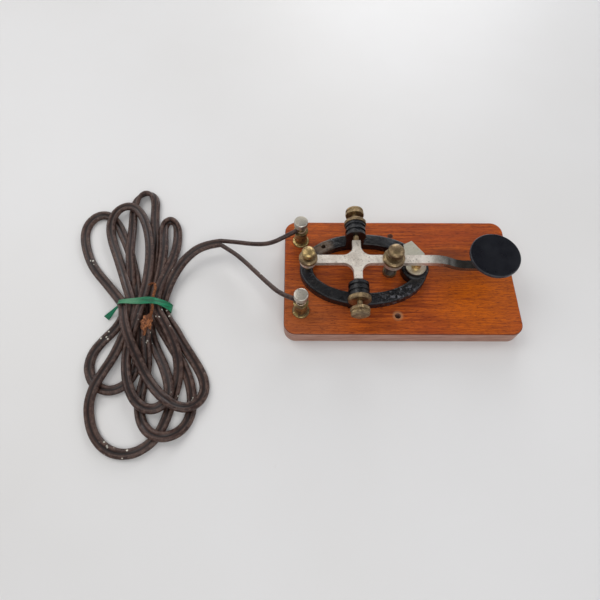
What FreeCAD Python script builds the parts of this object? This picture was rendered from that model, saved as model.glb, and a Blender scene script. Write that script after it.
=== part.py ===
"""Straight morse key on a wooden base board, with its two-conductor cord.

Millimetres, +Z up. The origin is the middle of the board's underside. +X runs along the
key towards the knob and +Y to the far side of the board.
"""
import FreeCAD, Part
import Sketcher
import math
import os

V = FreeCAD.Vector
UP = V(0, 0, 1)

doc = FreeCAD.newDocument("MorseKey")
sheet = doc.addObject("Spreadsheet::Sheet", "Sizes")
state = {"row": 0, "count": 0}


class Size:
    """A number together with the spreadsheet expression that gives it."""

    def __init__(self, value, text):
        self.value = value
        self.text = text

    def _join(self, other, sign, value, swap=False):
        text = other.text if isinstance(other, Size) else str(other)
        left, right = (text, self.text) if swap else (self.text, text)
        return Size(value, "(%s %s %s)" % (left, sign, right))

    def __add__(self, other):
        return self._join(other, "+", self.value + number(other))

    def __radd__(self, other):
        return self._join(other, "+", number(other) + self.value, swap=True)

    def __sub__(self, other):
        return self._join(other, "-", self.value - number(other))

    def __rsub__(self, other):
        return self._join(other, "-", number(other) - self.value, swap=True)

    def __mul__(self, other):
        return self._join(other, "*", self.value * number(other))

    def __rmul__(self, other):
        return self._join(other, "*", number(other) * self.value, swap=True)

    def __truediv__(self, other):
        return self._join(other, "/", self.value / number(other))

    def __neg__(self):
        return Size(-self.value, "(0 - %s)" % self.text)


def number(length):
    """The plain number behind a length."""
    return length.value if isinstance(length, Size) else float(length)


def size(alias, value):
    """One driving dimension: a labelled cell of the sheet with an alias."""
    state["row"] += 1
    sheet.set("A%d" % state["row"], alias)
    sheet.set("B%d" % state["row"], str(value))
    sheet.setAlias("B%d" % state["row"], alias)
    return Size(value, "Sizes." + alias)


# ---------------------------------------------------------------- driving dimensions
BOARD_LENGTH = size("board_length", 152.4)
BOARD_DEPTH = size("board_depth", 85.7)
BOARD_THICK = size("board_thick", 11.5)
BOARD_CORNER = size("board_corner", 8.0)
BOARD_EDGE = size("board_edge", 1.0)
RUN_FIT = size("run_fit", 0.05)            # radial clearance of every turning fit
EASE = size("ease", 0.4)                   # small chamfer on turned edges
DRILL_OVER = size("drill_over", 1.0)       # a drill's run past the face it leaves
FREE_GAP = size("free_gap", 0.3)           # clearance where nothing has to fit

KEY_LINE = size("key_line", 2.2)           # centre line of the key above the board's own
RING_MIDDLE = size("ring_middle", -23.8)
RING_HALF_LENGTH = size("ring_half_length", 42.1)
RING_HALF_WIDTH = size("ring_half_width", 26.9)
RING_BAND = size("ring_band", 8.6)
RING_HEIGHT = size("ring_height", 6.0)
RING_EDGE = size("ring_edge", 1.3)
RING_HOLE = size("ring_hole", 1.5)

PIVOT_POS = size("pivot_pos", -29.1)
PIVOT_RISE = size("pivot_rise", 15.5)      # pivot axis above the board
LUG_INNER = size("lug_inner", 17.5)        # key line to the lug's inner face
LUG_THICK = size("lug_thick", 9.4)
LUG_RADIUS = size("lug_radius", 6.6)
LUG_RIB = size("lug_rib", 0.7)
LUG_STEPS = size("lug_steps", 5)           # ribs and grooves along the lug

LEVER_THICK = size("lever_thick", 3.2)
LEVER_WIDTH = size("lever_width", 6.0)
LEVER_DROP = size("lever_drop", 6.6)
BEND_START = size("bend_start", 20.0)
BEND_LENGTH = size("bend_length", 24.0)
ARM_HALF = size("arm_half", 14.2)
ARM_WIDTH = size("arm_width", 5.4)
ARM_FILLET = size("arm_fillet", 6.5)

PIVOT_SCREW = size("pivot_screw", 2.0)     # radius of the pivot screw's shank
PIVOT_CONE = size("pivot_cone", 1.1)       # radius of its point where it meets the arm
PIVOT_CLEAR = size("pivot_clear", 0.06)    # axial clearance of point and recess
PIVOT_END = size("pivot_end", 38.8)        # key line to the thumb head's outer face
PIVOT_HEAD = size("pivot_head", 6.2)
PIVOT_HEAD_LENGTH = size("pivot_head_length", 4.6)
PIVOT_NUT = size("pivot_nut", 7.3)
PIVOT_NUT_THICK = size("pivot_nut_thick", 2.8)

GAP_POS = size("gap_pos", -60.6)
GAP_SCREW = size("gap_screw", 1.9)
GAP_NUT = size("gap_nut", 6.0)
GAP_NUT_THICK = size("gap_nut_thick", 2.8)
GAP_HEAD = size("gap_head", 4.3)
GAP_HEAD_LENGTH = size("gap_head_length", 4.4)
GAP_HEAD_TOP = size("gap_head_top", 26.8)  # above the board
GAP_EYE = size("gap_eye", 5.4)
REST_GAP = size("rest_gap", 0.02)          # rear stop to frame with the key at rest

TENSION_POS = size("tension_pos", -6.0)
TENSION_SCREW = size("tension_screw", 2.2)
TENSION_NUT = size("tension_nut", 7.1)
TENSION_NUT_THICK = size("tension_nut_thick", 3.0)
TENSION_HEAD = size("tension_head", 5.2)
TENSION_HEAD_LENGTH = size("tension_head_length", 5.0)
TENSION_HEAD_TOP = size("tension_head_top", 28.7)
TENSION_EYE = size("tension_eye", 6.9)

SPRING_RADIUS = size("spring_radius", 3.3)
SPRING_WIRE = size("spring_wire", 0.45)
SPRING_TURNS = size("spring_turns", 5)
SEAT_RADIUS = size("seat_radius", 4.6)
SEAT_HEIGHT = size("seat_height", 2.4)
SEAT_FLOOR = size("seat_floor", 0.9)
CAP_HEIGHT = size("cap_height", 1.6)       # cap between tension screw and spring
CAP_DROP = size("cap_drop", 2.6)           # lever's underside to the cap's top

CONTACT_POS = size("contact_pos", 10.2)
CONTACT_BOSS = size("contact_boss", 9.0)
CONTACT_BOSS_HEIGHT = size("contact_boss_height", 6.6)
CONTACT_GAP = size("contact_gap", 0.9)
CONTACT_SCREW = size("contact_screw", 2.0)
CONTACT_HEAD = size("contact_head", 3.1)
CONTACT_TIP = size("contact_tip", 1.5)
CONTACT_RISE = size("contact_rise", 1.9)   # lower contact above the strap
CONTACT_HEAD_THICK = size("contact_head_thick", 0.9)
RIVET_SHANK = size("rivet_shank", 1.3)
RIVET_HEAD = size("rivet_head", 2.4)
RIVET_HEAD_THICK = size("rivet_head_thick", 1.0)
RIVET_DEPTH = size("rivet_depth", 2.4)      # blind hole for the rivet, from below
INSULATOR_RADIUS = size("insulator_radius", 6.4)
INSULATOR_THICK = size("insulator_thick", 0.8)
SLEEVE_RADIUS = size("sleeve_radius", 3.2)
STRAP_HALF = size("strap_half", 6.6)
STRAP_THICK = size("strap_thick", 1.0)
STRAP_LENGTH = size("strap_length", 18.6)
STRAP_CUT = size("strap_cut", 8.0)

KNOB_POS = size("knob_pos", 57.3)
KNOB_RADIUS = size("knob_radius", 15.875)
KNOB_RIM = size("knob_rim", 2.8)
KNOB_STEM = size("knob_stem", 6.5)
KNOB_HEIGHT = size("knob_height", 12.1)
KNOB_SCREW = size("knob_screw", 1.75)
KNOB_SCREW_HEAD = size("knob_screw_head", 3.4)
KNOB_SCREW_DEPTH = size("knob_screw_depth", 7.5)
KNOB_EYE = size("knob_eye", 5.2)

POST_POS = size("post_pos", -65.2)
POST_HALF = size("post_half", 26.6)
POST_FLANGE = size("post_flange", 5.6)
POST_FLANGE_THICK = size("post_flange_thick", 1.4)
POST_BODY = size("post_body", 4.2)
POST_RIM = size("post_rim", 4.8)
POST_HEIGHT = size("post_height", 13.5)    # wire shelf above the board
POST_NECK = size("post_neck", 2.3)
WIRE_SPACE = size("wire_space", 3.4)       # shelf to the cap's collar
CAP_RADIUS = size("cap_radius", 4.5)
CAP_TALL = size("cap_tall", 3.7)
COLLAR_RADIUS = size("collar_radius", 3.3)
COLLAR_TALL = size("collar_tall", 2.8)
STUD_RADIUS = size("stud_radius", 1.75)
STUD_END = size("stud_end", 1.2)           # stud's lower end above the underside
NUT_POCKET = size("nut_pocket", 6.0)
NUT_POCKET_DEPTH = size("nut_pocket_depth", 5.2)
NUT_ACROSS = size("nut_across", 7.0)
NUT_THICK = size("nut_thick", 2.6)

FRAME_SCREW = size("frame_screw", 1.7)
FRAME_SCREW_HEAD = size("frame_screw_head", 3.2)
FRAME_SCREW_HEAD_THICK = size("frame_screw_head_thick", 2.0)
FRAME_SCREW_GRIP = size("frame_screw_grip", 4.0)
MOUNT_POS = size("mount_pos", -3.0)
MOUNT_MIDDLE = size("mount_middle", 0.6)
MOUNT_SPACING = size("mount_spacing", 61.0)
MOUNT_RADIUS = size("mount_radius", 2.0)
GROOVE_WIDTH = size("groove_width", 3.0)
GROOVE_INSET = size("groove_inset", 2.2)   # near groove inside the line of the posts
GROOVE_SHIFT = size("groove_shift", 1.8)   # far groove in front of the posts
WIRE_START = size("wire_start", 4.2)       # lug centre to the wire's end
HOOKUP_RADIUS = size("hookup_radius", 0.9)
LUG_PLATE = size("lug_plate", 0.6)         # solder lug and washer thickness
LUG_RING = size("lug_ring", 3.2)
TAB_WIDTH = size("tab_width", 2.0)
TAB_REACH = size("tab_reach", 5.4)

LEAD_RADIUS = size("lead_radius", 1.5)
PAIR_RADIUS = size("pair_radius", 2.4)
HANK_BOTTOM = size("hank_bottom", 0.6)
HANK_HEIGHT = size("hank_height", 10.4)
HANK_EDGE = size("hank_edge", 2.0)
TIE_THICK = size("tie_thick", 0.5)
TIE_WIDTH = size("tie_width", 3.5)
STRAND_RADIUS = size("strand_radius", 1.1)

# ---------------------------------------------------------------- derived places
PIVOT_Z = BOARD_THICK + PIVOT_RISE
LEVER_TOP = PIVOT_Z + LEVER_THICK / 2
LEVER_UNDER = PIVOT_Z - LEVER_THICK / 2
RING_TOP = BOARD_THICK + RING_HEIGHT
BOSS_TOP = BOARD_THICK + CONTACT_BOSS_HEIGHT
STRAP_UNDER = BOSS_TOP + INSULATOR_THICK
STRAP_TOP = STRAP_UNDER + STRAP_THICK
KNOB_SEAT = LEVER_TOP - LEVER_DROP
SHELF = BOARD_THICK + POST_HEIGHT
CAP_UNDER = SHELF + WIRE_SPACE
CAP_TOP = LEVER_UNDER - CAP_DROP
TIE_MIDDLE = V(-168.0, -20.0, 0)
CONE_SLOPE = math.tan(math.radians(60))    # depth of a 60 degree point over its radius
SIDES = {"near": -1, "far": 1}


# ---------------------------------------------------------------- helpers
def fresh(stem):
    """A unique internal name."""
    state["count"] += 1
    return "%s_%03d" % (stem, state["count"])


def bind(thing, **lengths):
    """Binds properties of a document object to the sheet."""
    for prop, length in lengths.items():
        if isinstance(length, Size):
            thing.setExpression(prop, length.text)
        else:
            setattr(thing, prop, length)
    return thing


def place(thing, x=0.0, y=0.0, z=0.0, axis=UP, angle=0.0):
    """Places an object: a fixed turn, and a position bound to the sheet."""
    spot = V(number(x), number(y), number(z))
    thing.Placement = FreeCAD.Placement(spot, FreeCAD.Rotation(axis, angle))
    for name, length in (("x", x), ("y", y), ("z", z)):
        if isinstance(length, Size):
            thing.setExpression("Placement.Base." + name, length.text)
    return thing


def cylinder(radius, height, x=0.0, y=0.0, z=0.0, axis=UP, angle=0.0):
    """A Part cylinder, standing unless it is turned."""
    thing = doc.addObject("Part::Cylinder", fresh("Cylinder"))
    return place(bind(thing, Radius=radius, Height=height), x, y, z, axis, angle)


def block(length, width, height, x, y, z, turn=0.0):
    """A Part box from its lowest corner."""
    thing = doc.addObject("Part::Box", fresh("Box"))
    return place(bind(thing, Length=length, Width=width, Height=height), x, y, z, UP, turn)


def prism(across, height, x, y, z):
    """A hexagonal prism of the given size across its corners' circle."""
    thing = doc.addObject("Part::Prism", fresh("Prism"))
    thing.Polygon = 6
    return place(bind(thing, Circumradius=across, Height=height), x, y, z)


def fuse(*things):
    """The union of several objects."""
    thing = doc.addObject("Part::MultiFuse", fresh("Fuse"))
    thing.Shapes = list(things)
    thing.Refine = True
    doc.recompute()
    return thing


def cut(base, *tools):
    """The base without the tools; every tool has to remove something."""
    doc.recompute()
    for tool in tools:
        before = base.Shape.Volume
        thing = doc.addObject("Part::Cut", fresh("Cut"))
        thing.Base = base
        thing.Tool = tool
        doc.recompute()
        if not thing.Shape.Volume < before - 1e-6:
            raise ValueError("a cut removed nothing from " + base.Name)
        base = thing
    return base


def common(one, other):
    """What two objects share."""
    thing = doc.addObject("Part::MultiCommon", fresh("Common"))
    thing.Shapes = [one, other]
    doc.recompute()
    return thing


def rounded(base, radius, wanted):
    """Fillets the edges for which wanted(edge) is true."""
    doc.recompute()
    thing = doc.addObject("Part::Fillet", fresh("Fillet"))
    thing.Base = base
    reach = number(radius)
    edges = [(i + 1, reach, reach) for i, edge in enumerate(base.Shape.Edges) if wanted(edge)]
    if not edges:
        raise ValueError("no edge to round on " + base.Name)
    thing.Edges = edges
    doc.recompute()
    return thing


def at_height(height):
    """True for the edges that lie wholly at one height."""
    def wanted(edge):
        box = edge.BoundBox
        return abs(box.ZMin - number(height)) < 1e-3 and abs(box.ZMax - number(height)) < 1e-3
    return wanted


def outline_sketch(piece, role, outline):
    """A closed polygon sketch on one of the Body's origin planes, bound to the sheet."""
    drawing = piece.newObject("Sketcher::SketchObject", fresh("Outline"))
    base_plane = [f for f in piece.Origin.OriginFeatures if f.Role == role][0]
    drawing.AttachmentSupport = (base_plane, [""])
    drawing.MapMode = "FlatFace"
    count = len(outline)
    spots = [V(number(across), number(along), 0) for across, along in outline]
    for i in range(count):
        drawing.addGeometry(Part.LineSegment(spots[i], spots[(i + 1) % count]), False)
    for i in range(count):
        following = (i + 1) % count
        drawing.addConstraint(Sketcher.Constraint("Coincident", i, 2, following, 1))
    for i, (across, along) in enumerate(outline):
        tie_point(drawing, i, "DistanceX", across, -2)
        tie_point(drawing, i, "DistanceY", along, -1)
    return drawing


def tie_point(drawing, line, kind, length, axis):
    """Fixes one coordinate of a line's first point, on the sketch's axis where it is 0."""
    if not isinstance(length, Size) and length == 0:
        drawing.addConstraint(Sketcher.Constraint("PointOnObject", line, 1, axis))
        return
    rule = Sketcher.Constraint(kind, -1, 1, line, 1, number(length))
    index = drawing.addConstraint(rule)
    if isinstance(length, Size):
        drawing.setExpression("Constraints[%d]" % index, length.text)


def turned(label, outline, top_round=None):
    """A turned Body: a half outline of (radius, height) points, revolved about Z."""
    piece = doc.addObject("PartDesign::Body", label)
    drawing = outline_sketch(piece, "XZ_Plane", outline)
    turning = piece.newObject("PartDesign::Revolution", label + "_turned")
    turning.Profile = drawing
    turning.ReferenceAxis = (drawing, ["V_Axis"])
    turning.Angle = 360.0
    doc.recompute()
    if top_round is not None:
        add_top_round(piece, turning, top_round, max(number(z) for _, z in outline))
    return piece


def padded(label, outline, thickness):
    """A plate Body: a polygon on the XY plane, padded upwards."""
    piece = doc.addObject("PartDesign::Body", label)
    pad = piece.newObject("PartDesign::Pad", label + "_pad")
    pad.Profile = outline_sketch(piece, "XY_Plane", outline)
    bind(pad, Length=thickness)
    doc.recompute()
    return piece


def add_top_round(piece, feature, radius, height):
    """Rounds the circle at the top of a turned Body."""
    names = []
    for i, edge in enumerate(feature.Shape.Edges):
        if at_height(height)(edge) and edge.Length > 4 * number(radius):
            names.append("Edge%d" % (i + 1))
    fillet = piece.newObject("PartDesign::Fillet", piece.Name + "_round")
    fillet.Base = (feature, names)
    bind(fillet, Radius=radius)
    doc.recompute()


nodes = []


def node(thing, label):
    """Names a finished piece; its label is also its file's name."""
    thing.Label = label
    nodes.append(thing)
    return thing


def shaped(label, shape):
    """A piece whose shape is set directly from sizes of the sheet."""
    thing = doc.addObject("Part::Feature", fresh("Shaped"))
    thing.Shape = shape
    thing.Placement = FreeCAD.Placement()
    return node(thing, label)


# ---------------------------------------------------------------- board and frame
FRAME_SCREW_TURN = math.radians(50)        # front frame screws, round the ring
RING_HOLE_TURN = math.radians(134)
RING_MID_LONG = RING_HALF_LENGTH - RING_BAND / 2
RING_MID_WIDE = RING_HALF_WIDTH - RING_BAND / 2
FRAME_SCREWS = [
    (RING_MIDDLE - RING_MID_LONG, KEY_LINE),
    (RING_MIDDLE + RING_MID_LONG * math.cos(FRAME_SCREW_TURN),
     KEY_LINE + RING_MID_WIDE * math.sin(FRAME_SCREW_TURN)),
    (RING_MIDDLE + RING_MID_LONG * math.cos(FRAME_SCREW_TURN),
     KEY_LINE - RING_MID_WIDE * math.sin(FRAME_SCREW_TURN)),
]
NEAR_GROOVE = POST_HALF - GROOVE_INSET     # near groove's distance from the board's middle
FAR_GROOVE = POST_POS + GROOVE_SHIFT       # far groove's place along the board


def make_board():
    """The wooden board with its holes, nut pockets and wire grooves."""
    half_length = BOARD_LENGTH / 2
    half_depth = BOARD_DEPTH / 2
    slab = block(BOARD_LENGTH, BOARD_DEPTH, BOARD_THICK, -half_length, -half_depth, 0.0)

    def upright(edge):
        return edge.BoundBox.ZLength > number(BOARD_THICK) / 2

    slab = rounded(slab, BOARD_CORNER, upright)
    slab = rounded(slab, BOARD_EDGE, at_height(BOARD_THICK))
    slab = rounded(slab, BOARD_EDGE / 2, at_height(0))
    tools = []
    for side in SIDES.values():
        post_y = POST_HALF * side
        mount_y = MOUNT_MIDDLE + MOUNT_SPACING / 2 * side
        tools.append(cylinder(STUD_RADIUS + FREE_GAP, BOARD_THICK, POST_POS, post_y))
        tools.append(cylinder(NUT_POCKET, NUT_POCKET_DEPTH, POST_POS, post_y))
        tools.append(cylinder(MOUNT_RADIUS, BOARD_THICK, MOUNT_POS, mount_y))
    tools.append(cylinder(SLEEVE_RADIUS + RUN_FIT, BOARD_THICK, CONTACT_POS, KEY_LINE))
    tools.append(cylinder(NUT_POCKET, NUT_POCKET_DEPTH, CONTACT_POS, KEY_LINE))
    for spot_x, spot_y in FRAME_SCREWS:
        tools.append(cylinder(FRAME_SCREW + FREE_GAP, BOARD_THICK, spot_x, spot_y))
        tools.append(cylinder(FRAME_SCREW_HEAD + 1, NUT_POCKET_DEPTH, spot_x, spot_y))
    half_groove = GROOVE_WIDTH / 2
    tools.append(block(CONTACT_POS - POST_POS + half_groove, GROOVE_WIDTH, NUT_POCKET_DEPTH,
                       POST_POS, -NEAR_GROOVE - half_groove, 0.0))
    tools.append(block(GROOVE_WIDTH, KEY_LINE + NEAR_GROOVE, NUT_POCKET_DEPTH,
                       CONTACT_POS - half_groove, -NEAR_GROOVE, 0.0))
    tools.append(block(GROOVE_WIDTH, POST_HALF - KEY_LINE, NUT_POCKET_DEPTH,
                       FAR_GROOVE - half_groove, KEY_LINE, 0.0))
    node(cut(slab, *tools), "base_board")


def ellipse_block(half_length, half_width):
    """An upright solid on an ellipse, as tall as the ring."""
    curve = doc.addObject("Part::Ellipse", fresh("Ellipse"))
    bind(curve, MajorRadius=half_length, MinorRadius=half_width)
    place(curve, RING_MIDDLE, KEY_LINE, BOARD_THICK)
    solid = doc.addObject("Part::Extrusion", fresh("Extrusion"))
    solid.Base = curve
    solid.DirMode = "Custom"
    solid.Dir = UP
    solid.Solid = True
    return bind(solid, LengthFwd=RING_HEIGHT)


def lug(side):
    """One pivot lug: a ribbed round boss across the ring on a column."""
    inner = LUG_RADIUS - LUG_RIB
    low = LUG_INNER if side > 0 else LUG_INNER + LUG_THICK
    column = block(inner * 2, LUG_THICK, PIVOT_RISE, PIVOT_POS - inner,
                   KEY_LINE + low * side, BOARD_THICK)
    turn = -90 * side
    barrel = cylinder(inner, LUG_THICK, PIVOT_POS, KEY_LINE + LUG_INNER * side, PIVOT_Z,
                      V(1, 0, 0), turn)
    parts = [column, barrel]
    rib = LUG_THICK / LUG_STEPS
    for step in range(0, int(number(LUG_STEPS)), 2):
        start = LUG_INNER + rib * step
        parts.append(cylinder(LUG_RADIUS, rib, PIVOT_POS, KEY_LINE + start * side, PIVOT_Z,
                              V(1, 0, 0), turn))
    return parts


def make_frame():
    """The cast oval ring with its lugs and contact boss."""
    inner = ellipse_block(RING_HALF_LENGTH - RING_BAND, RING_HALF_WIDTH - RING_BAND)
    ring = cut(ellipse_block(RING_HALF_LENGTH, RING_HALF_WIDTH), inner)
    ring = rounded(ring, RING_EDGE, at_height(RING_TOP))
    boss = cylinder(CONTACT_BOSS, CONTACT_BOSS_HEIGHT, CONTACT_POS, KEY_LINE, BOARD_THICK)
    boss = rounded(boss, RING_EDGE, at_height(BOSS_TOP))
    body = fuse(ring, boss, *(lug(-1) + lug(1)))
    tools = []
    for side in SIDES.values():
        tools.append(cylinder(PIVOT_SCREW + RUN_FIT, LUG_THICK + DRILL_OVER * 2, PIVOT_POS,
                              KEY_LINE + (LUG_INNER - DRILL_OVER) * side, PIVOT_Z,
                              V(1, 0, 0), -90 * side))
    tools.append(cylinder(SLEEVE_RADIUS + RUN_FIT, CONTACT_BOSS_HEIGHT + DRILL_OVER,
                          CONTACT_POS, KEY_LINE, BOARD_THICK))
    for spot_x, spot_y in FRAME_SCREWS:
        tools.append(cylinder(FRAME_SCREW + RUN_FIT, FRAME_SCREW_GRIP,
                              spot_x, spot_y, BOARD_THICK))
    hole_x = RING_MIDDLE + RING_MID_LONG * math.cos(RING_HOLE_TURN)
    hole_y = KEY_LINE + RING_MID_WIDE * math.sin(RING_HOLE_TURN)
    tools.append(cylinder(RING_HOLE, RING_HEIGHT + DRILL_OVER, hole_x, hole_y, BOARD_THICK))
    node(cut(body, *tools), "frame_ring")


# ---------------------------------------------------------------- lever group
def bend_profile():
    """The lever's side view as a face: level, an S of two arcs, level again."""
    thick = number(LEVER_THICK)
    top = number(LEVER_TOP)
    drop = number(LEVER_DROP)
    half = number(BEND_LENGTH) / 2
    start = number(BEND_START)
    outer = (half * half + drop * drop / 4) / drop
    turn = math.asin(half / outer)
    ends = (number(GAP_POS) - 2 * number(GAP_EYE), number(KNOB_POS) + 2 * number(KNOB_EYE))
    first = V(start, 0, top - outer)
    second = V(start + 2 * half, 0, top - drop + outer)

    def arc(middle, radius, low, high):
        spots = [middle + V(radius * math.sin(a), 0, radius * math.cos(a))
                 for a in (low, (low + high) / 2, high)]
        return Part.Arc(*spots).toShape(), spots[0], spots[2]

    crown, a0, a1 = arc(first, outer, 0, turn)
    dip, b0, b1 = arc(second, outer, math.pi + turn, math.pi)
    dip_low, c0, c1 = arc(second, outer + thick, math.pi, math.pi + turn)
    crown_low, d0, d1 = arc(first, outer - thick, turn, 0)
    down = V(0, 0, -thick)
    tail = V(ends[0], 0, top)
    nose = V(ends[1], 0, top - drop)
    runs = [(tail, a0), (b1, nose), (nose, nose + down), (nose + down, c0),
            (d1, tail + down), (tail + down, tail)]
    edges = [crown, dip, dip_low, crown_low]
    edges += [Part.makeLine(one, other) for one, other in runs]
    return Part.Face(Part.Wire(Part.__sortEdges__(edges)))


def make_lever():
    """The flat cross lever: its plan cut out of a bent strip, then drilled."""
    reach = number(ARM_HALF) + 10
    strip = doc.addObject("Part::Feature", fresh("Strip"))
    strip.Shape = bend_profile().extrude(V(0, 2 * reach, 0))
    place(strip, 0.0, KEY_LINE - ARM_HALF - 10, 0.0)
    half = LEVER_WIDTH / 2
    arm = ARM_WIDTH / 2
    tall = BOARD_THICK + PIVOT_RISE * 2
    bar = block(KNOB_POS - GAP_POS, LEVER_WIDTH, tall, GAP_POS, KEY_LINE - half, 0.0)
    arms = block(ARM_WIDTH, ARM_HALF * 2, tall, PIVOT_POS - arm, KEY_LINE - ARM_HALF, 0.0)
    cross = fuse(bar, arms)

    def corner(edge):
        box = edge.BoundBox
        upright = box.ZLength > number(tall) - 1
        beside = abs(abs(box.Center.x - number(PIVOT_POS)) - number(arm)) < 1e-3
        inside = abs(abs(box.Center.y - number(KEY_LINE)) - number(half)) < 1e-3
        return upright and beside and inside

    cross = rounded(cross, ARM_FILLET, corner)
    eyes = [cylinder(radius, tall, spot, KEY_LINE) for radius, spot in
            ((GAP_EYE, GAP_POS), (TENSION_EYE, TENSION_POS), (KNOB_EYE, KNOB_POS))]
    body = common(fuse(cross, *eyes), strip)
    tools = []
    for radius, spot, height in ((GAP_SCREW, GAP_POS, tall), (TENSION_SCREW, TENSION_POS, tall),
                                 (KNOB_SCREW, KNOB_POS, tall),
                                 (RIVET_SHANK, CONTACT_POS, LEVER_UNDER + RIVET_DEPTH)):
        tools.append(cylinder(radius + RUN_FIT, height, spot, KEY_LINE))
    for side in SIDES.values():
        recess = doc.addObject("Part::Cone", fresh("Cone"))
        bind(recess, Radius1=PIVOT_CONE, Radius2=0.0, Height=PIVOT_CONE * CONE_SLOPE)
        tools.append(place(recess, PIVOT_POS, KEY_LINE + ARM_HALF * side, PIVOT_Z,
                           V(1, 0, 0), 90 * side))
    node(cut(body, *tools), "lever")


def make_knob():
    """The round knob with its short waisted stem, and its screw from below."""
    top = KNOB_SEAT + KNOB_HEIGHT
    rim_low = top - KNOB_RIM
    hole = KNOB_SCREW + RUN_FIT
    outline = [(hole, KNOB_SEAT), (KNOB_STEM, KNOB_SEAT),
               (KNOB_STEM, KNOB_SEAT + 1.5), (KNOB_STEM - 1.3, KNOB_SEAT + 3.5),
               (KNOB_STEM - 0.8, rim_low - 2.2), (KNOB_STEM + 2.5, rim_low - 0.7),
               (KNOB_RADIUS - 0.8, rim_low), (KNOB_RADIUS, rim_low + 0.8),
               (KNOB_RADIUS, top), (0, top),
               (0, KNOB_SEAT + KNOB_SCREW_DEPTH), (hole, KNOB_SEAT + KNOB_SCREW_DEPTH)]
    node(place(turned("knob", outline, KNOB_RIM / 4), KNOB_POS, KEY_LINE), "knob")
    under = KNOB_SEAT - LEVER_THICK
    tip = KNOB_SEAT + KNOB_SCREW_DEPTH - FREE_GAP
    outline = [(0, under - 2), (KNOB_SCREW_HEAD - 0.8, under - 2), (KNOB_SCREW_HEAD, under - 1.2),
               (KNOB_SCREW_HEAD, under), (KNOB_SCREW, under), (KNOB_SCREW, tip), (0, tip)]
    node(place(turned("knob_screw", outline), KNOB_POS, KEY_LINE), "knob_screw")


def make_upper_contact():
    """The contact riveted in the lever."""
    tip = STRAP_TOP + CONTACT_RISE + CONTACT_GAP
    head = LEVER_UNDER - RIVET_HEAD_THICK
    rivet_top = LEVER_UNDER + RIVET_DEPTH
    outline = [(0, tip), (CONTACT_TIP, tip), (CONTACT_TIP, head), (RIVET_HEAD, head),
               (RIVET_HEAD, LEVER_UNDER), (RIVET_SHANK, LEVER_UNDER),
               (RIVET_SHANK, rivet_top), (0, rivet_top)]
    node(place(turned("upper_contact", outline), CONTACT_POS, KEY_LINE), "upper_contact")


def thumb_screw(label, place_x, tip, shank, head, head_length, head_top):
    """An upright adjusting screw with a domed thumb head."""
    top = BOARD_THICK + head_top
    outline = [(0, tip), (shank - 0.6, tip), (shank, tip + 0.8), (shank, top - head_length),
               (head - EASE, top - head_length), (head, top - head_length + EASE),
               (head, top), (0, top)]
    piece = turned(label, outline, head / 2.4)
    node(place(piece, place_x, KEY_LINE), label)


def lock_nut(label, place_x, shank, radius, thick):
    """A round lock nut on the lever, with a shoulder."""
    low = LEVER_TOP + REST_GAP
    outline = [(shank + RUN_FIT, low), (radius, low), (radius, low + thick * 0.6),
               (radius - 0.9, low + thick * 0.8), (radius - 1.3, low + thick),
               (shank + RUN_FIT, low + thick)]
    node(place(turned(label, outline), place_x, KEY_LINE), label)


def make_adjusters():
    """The rear gap screw and the front tension screw, each with its lock nut."""
    thumb_screw("gap_screw", GAP_POS, RING_TOP + REST_GAP, GAP_SCREW,
                GAP_HEAD, GAP_HEAD_LENGTH, GAP_HEAD_TOP)
    lock_nut("gap_locknut", GAP_POS, GAP_SCREW, GAP_NUT, GAP_NUT_THICK)
    thumb_screw("tension_screw", TENSION_POS, CAP_TOP + REST_GAP, TENSION_SCREW,
                TENSION_HEAD, TENSION_HEAD_LENGTH, TENSION_HEAD_TOP)
    lock_nut("tension_locknut", TENSION_POS, TENSION_SCREW, TENSION_NUT, TENSION_NUT_THICK)


def make_spring():
    """The tension spring between its seat on the board and its cap."""
    inside = SPRING_RADIUS + SPRING_WIRE + 0.15
    floor = BOARD_THICK + SEAT_FLOOR
    rim = BOARD_THICK + SEAT_HEIGHT
    outline = [(0, BOARD_THICK), (SEAT_RADIUS, BOARD_THICK), (SEAT_RADIUS, rim),
               (inside, rim), (inside, floor), (0, floor)]
    node(place(turned("spring_seat", outline), TENSION_POS, KEY_LINE), "spring_seat")
    cap_low = CAP_TOP - CAP_HEIGHT
    pilot = SPRING_RADIUS - SPRING_WIRE - FREE_GAP
    outline = [(0, cap_low - 1.5), (pilot, cap_low - 1.5), (pilot, cap_low), (inside, cap_low),
               (inside, CAP_TOP), (0, CAP_TOP)]
    node(place(turned("spring_cap", outline), TENSION_POS, KEY_LINE), "spring_cap")
    helix = doc.addObject("Part::Helix", fresh("Helix"))
    low = floor + SPRING_WIRE + REST_GAP
    length = cap_low - SPRING_WIRE - REST_GAP - low
    bind(helix, Radius=SPRING_RADIUS, Height=length, Pitch=length / SPRING_TURNS)
    ring = doc.addObject("Part::Circle", fresh("Circle"))
    bind(ring, Radius=SPRING_WIRE)
    place(ring, SPRING_RADIUS, 0.0, 0.0, V(1, 0, 0), 90)
    coil = doc.addObject("Part::Sweep", fresh("Sweep"))
    coil.Sections = [ring]
    coil.Spine = helix
    coil.Solid = True
    coil.Frenet = True
    node(place(coil, TENSION_POS, KEY_LINE, low), "tension_spring")


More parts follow.
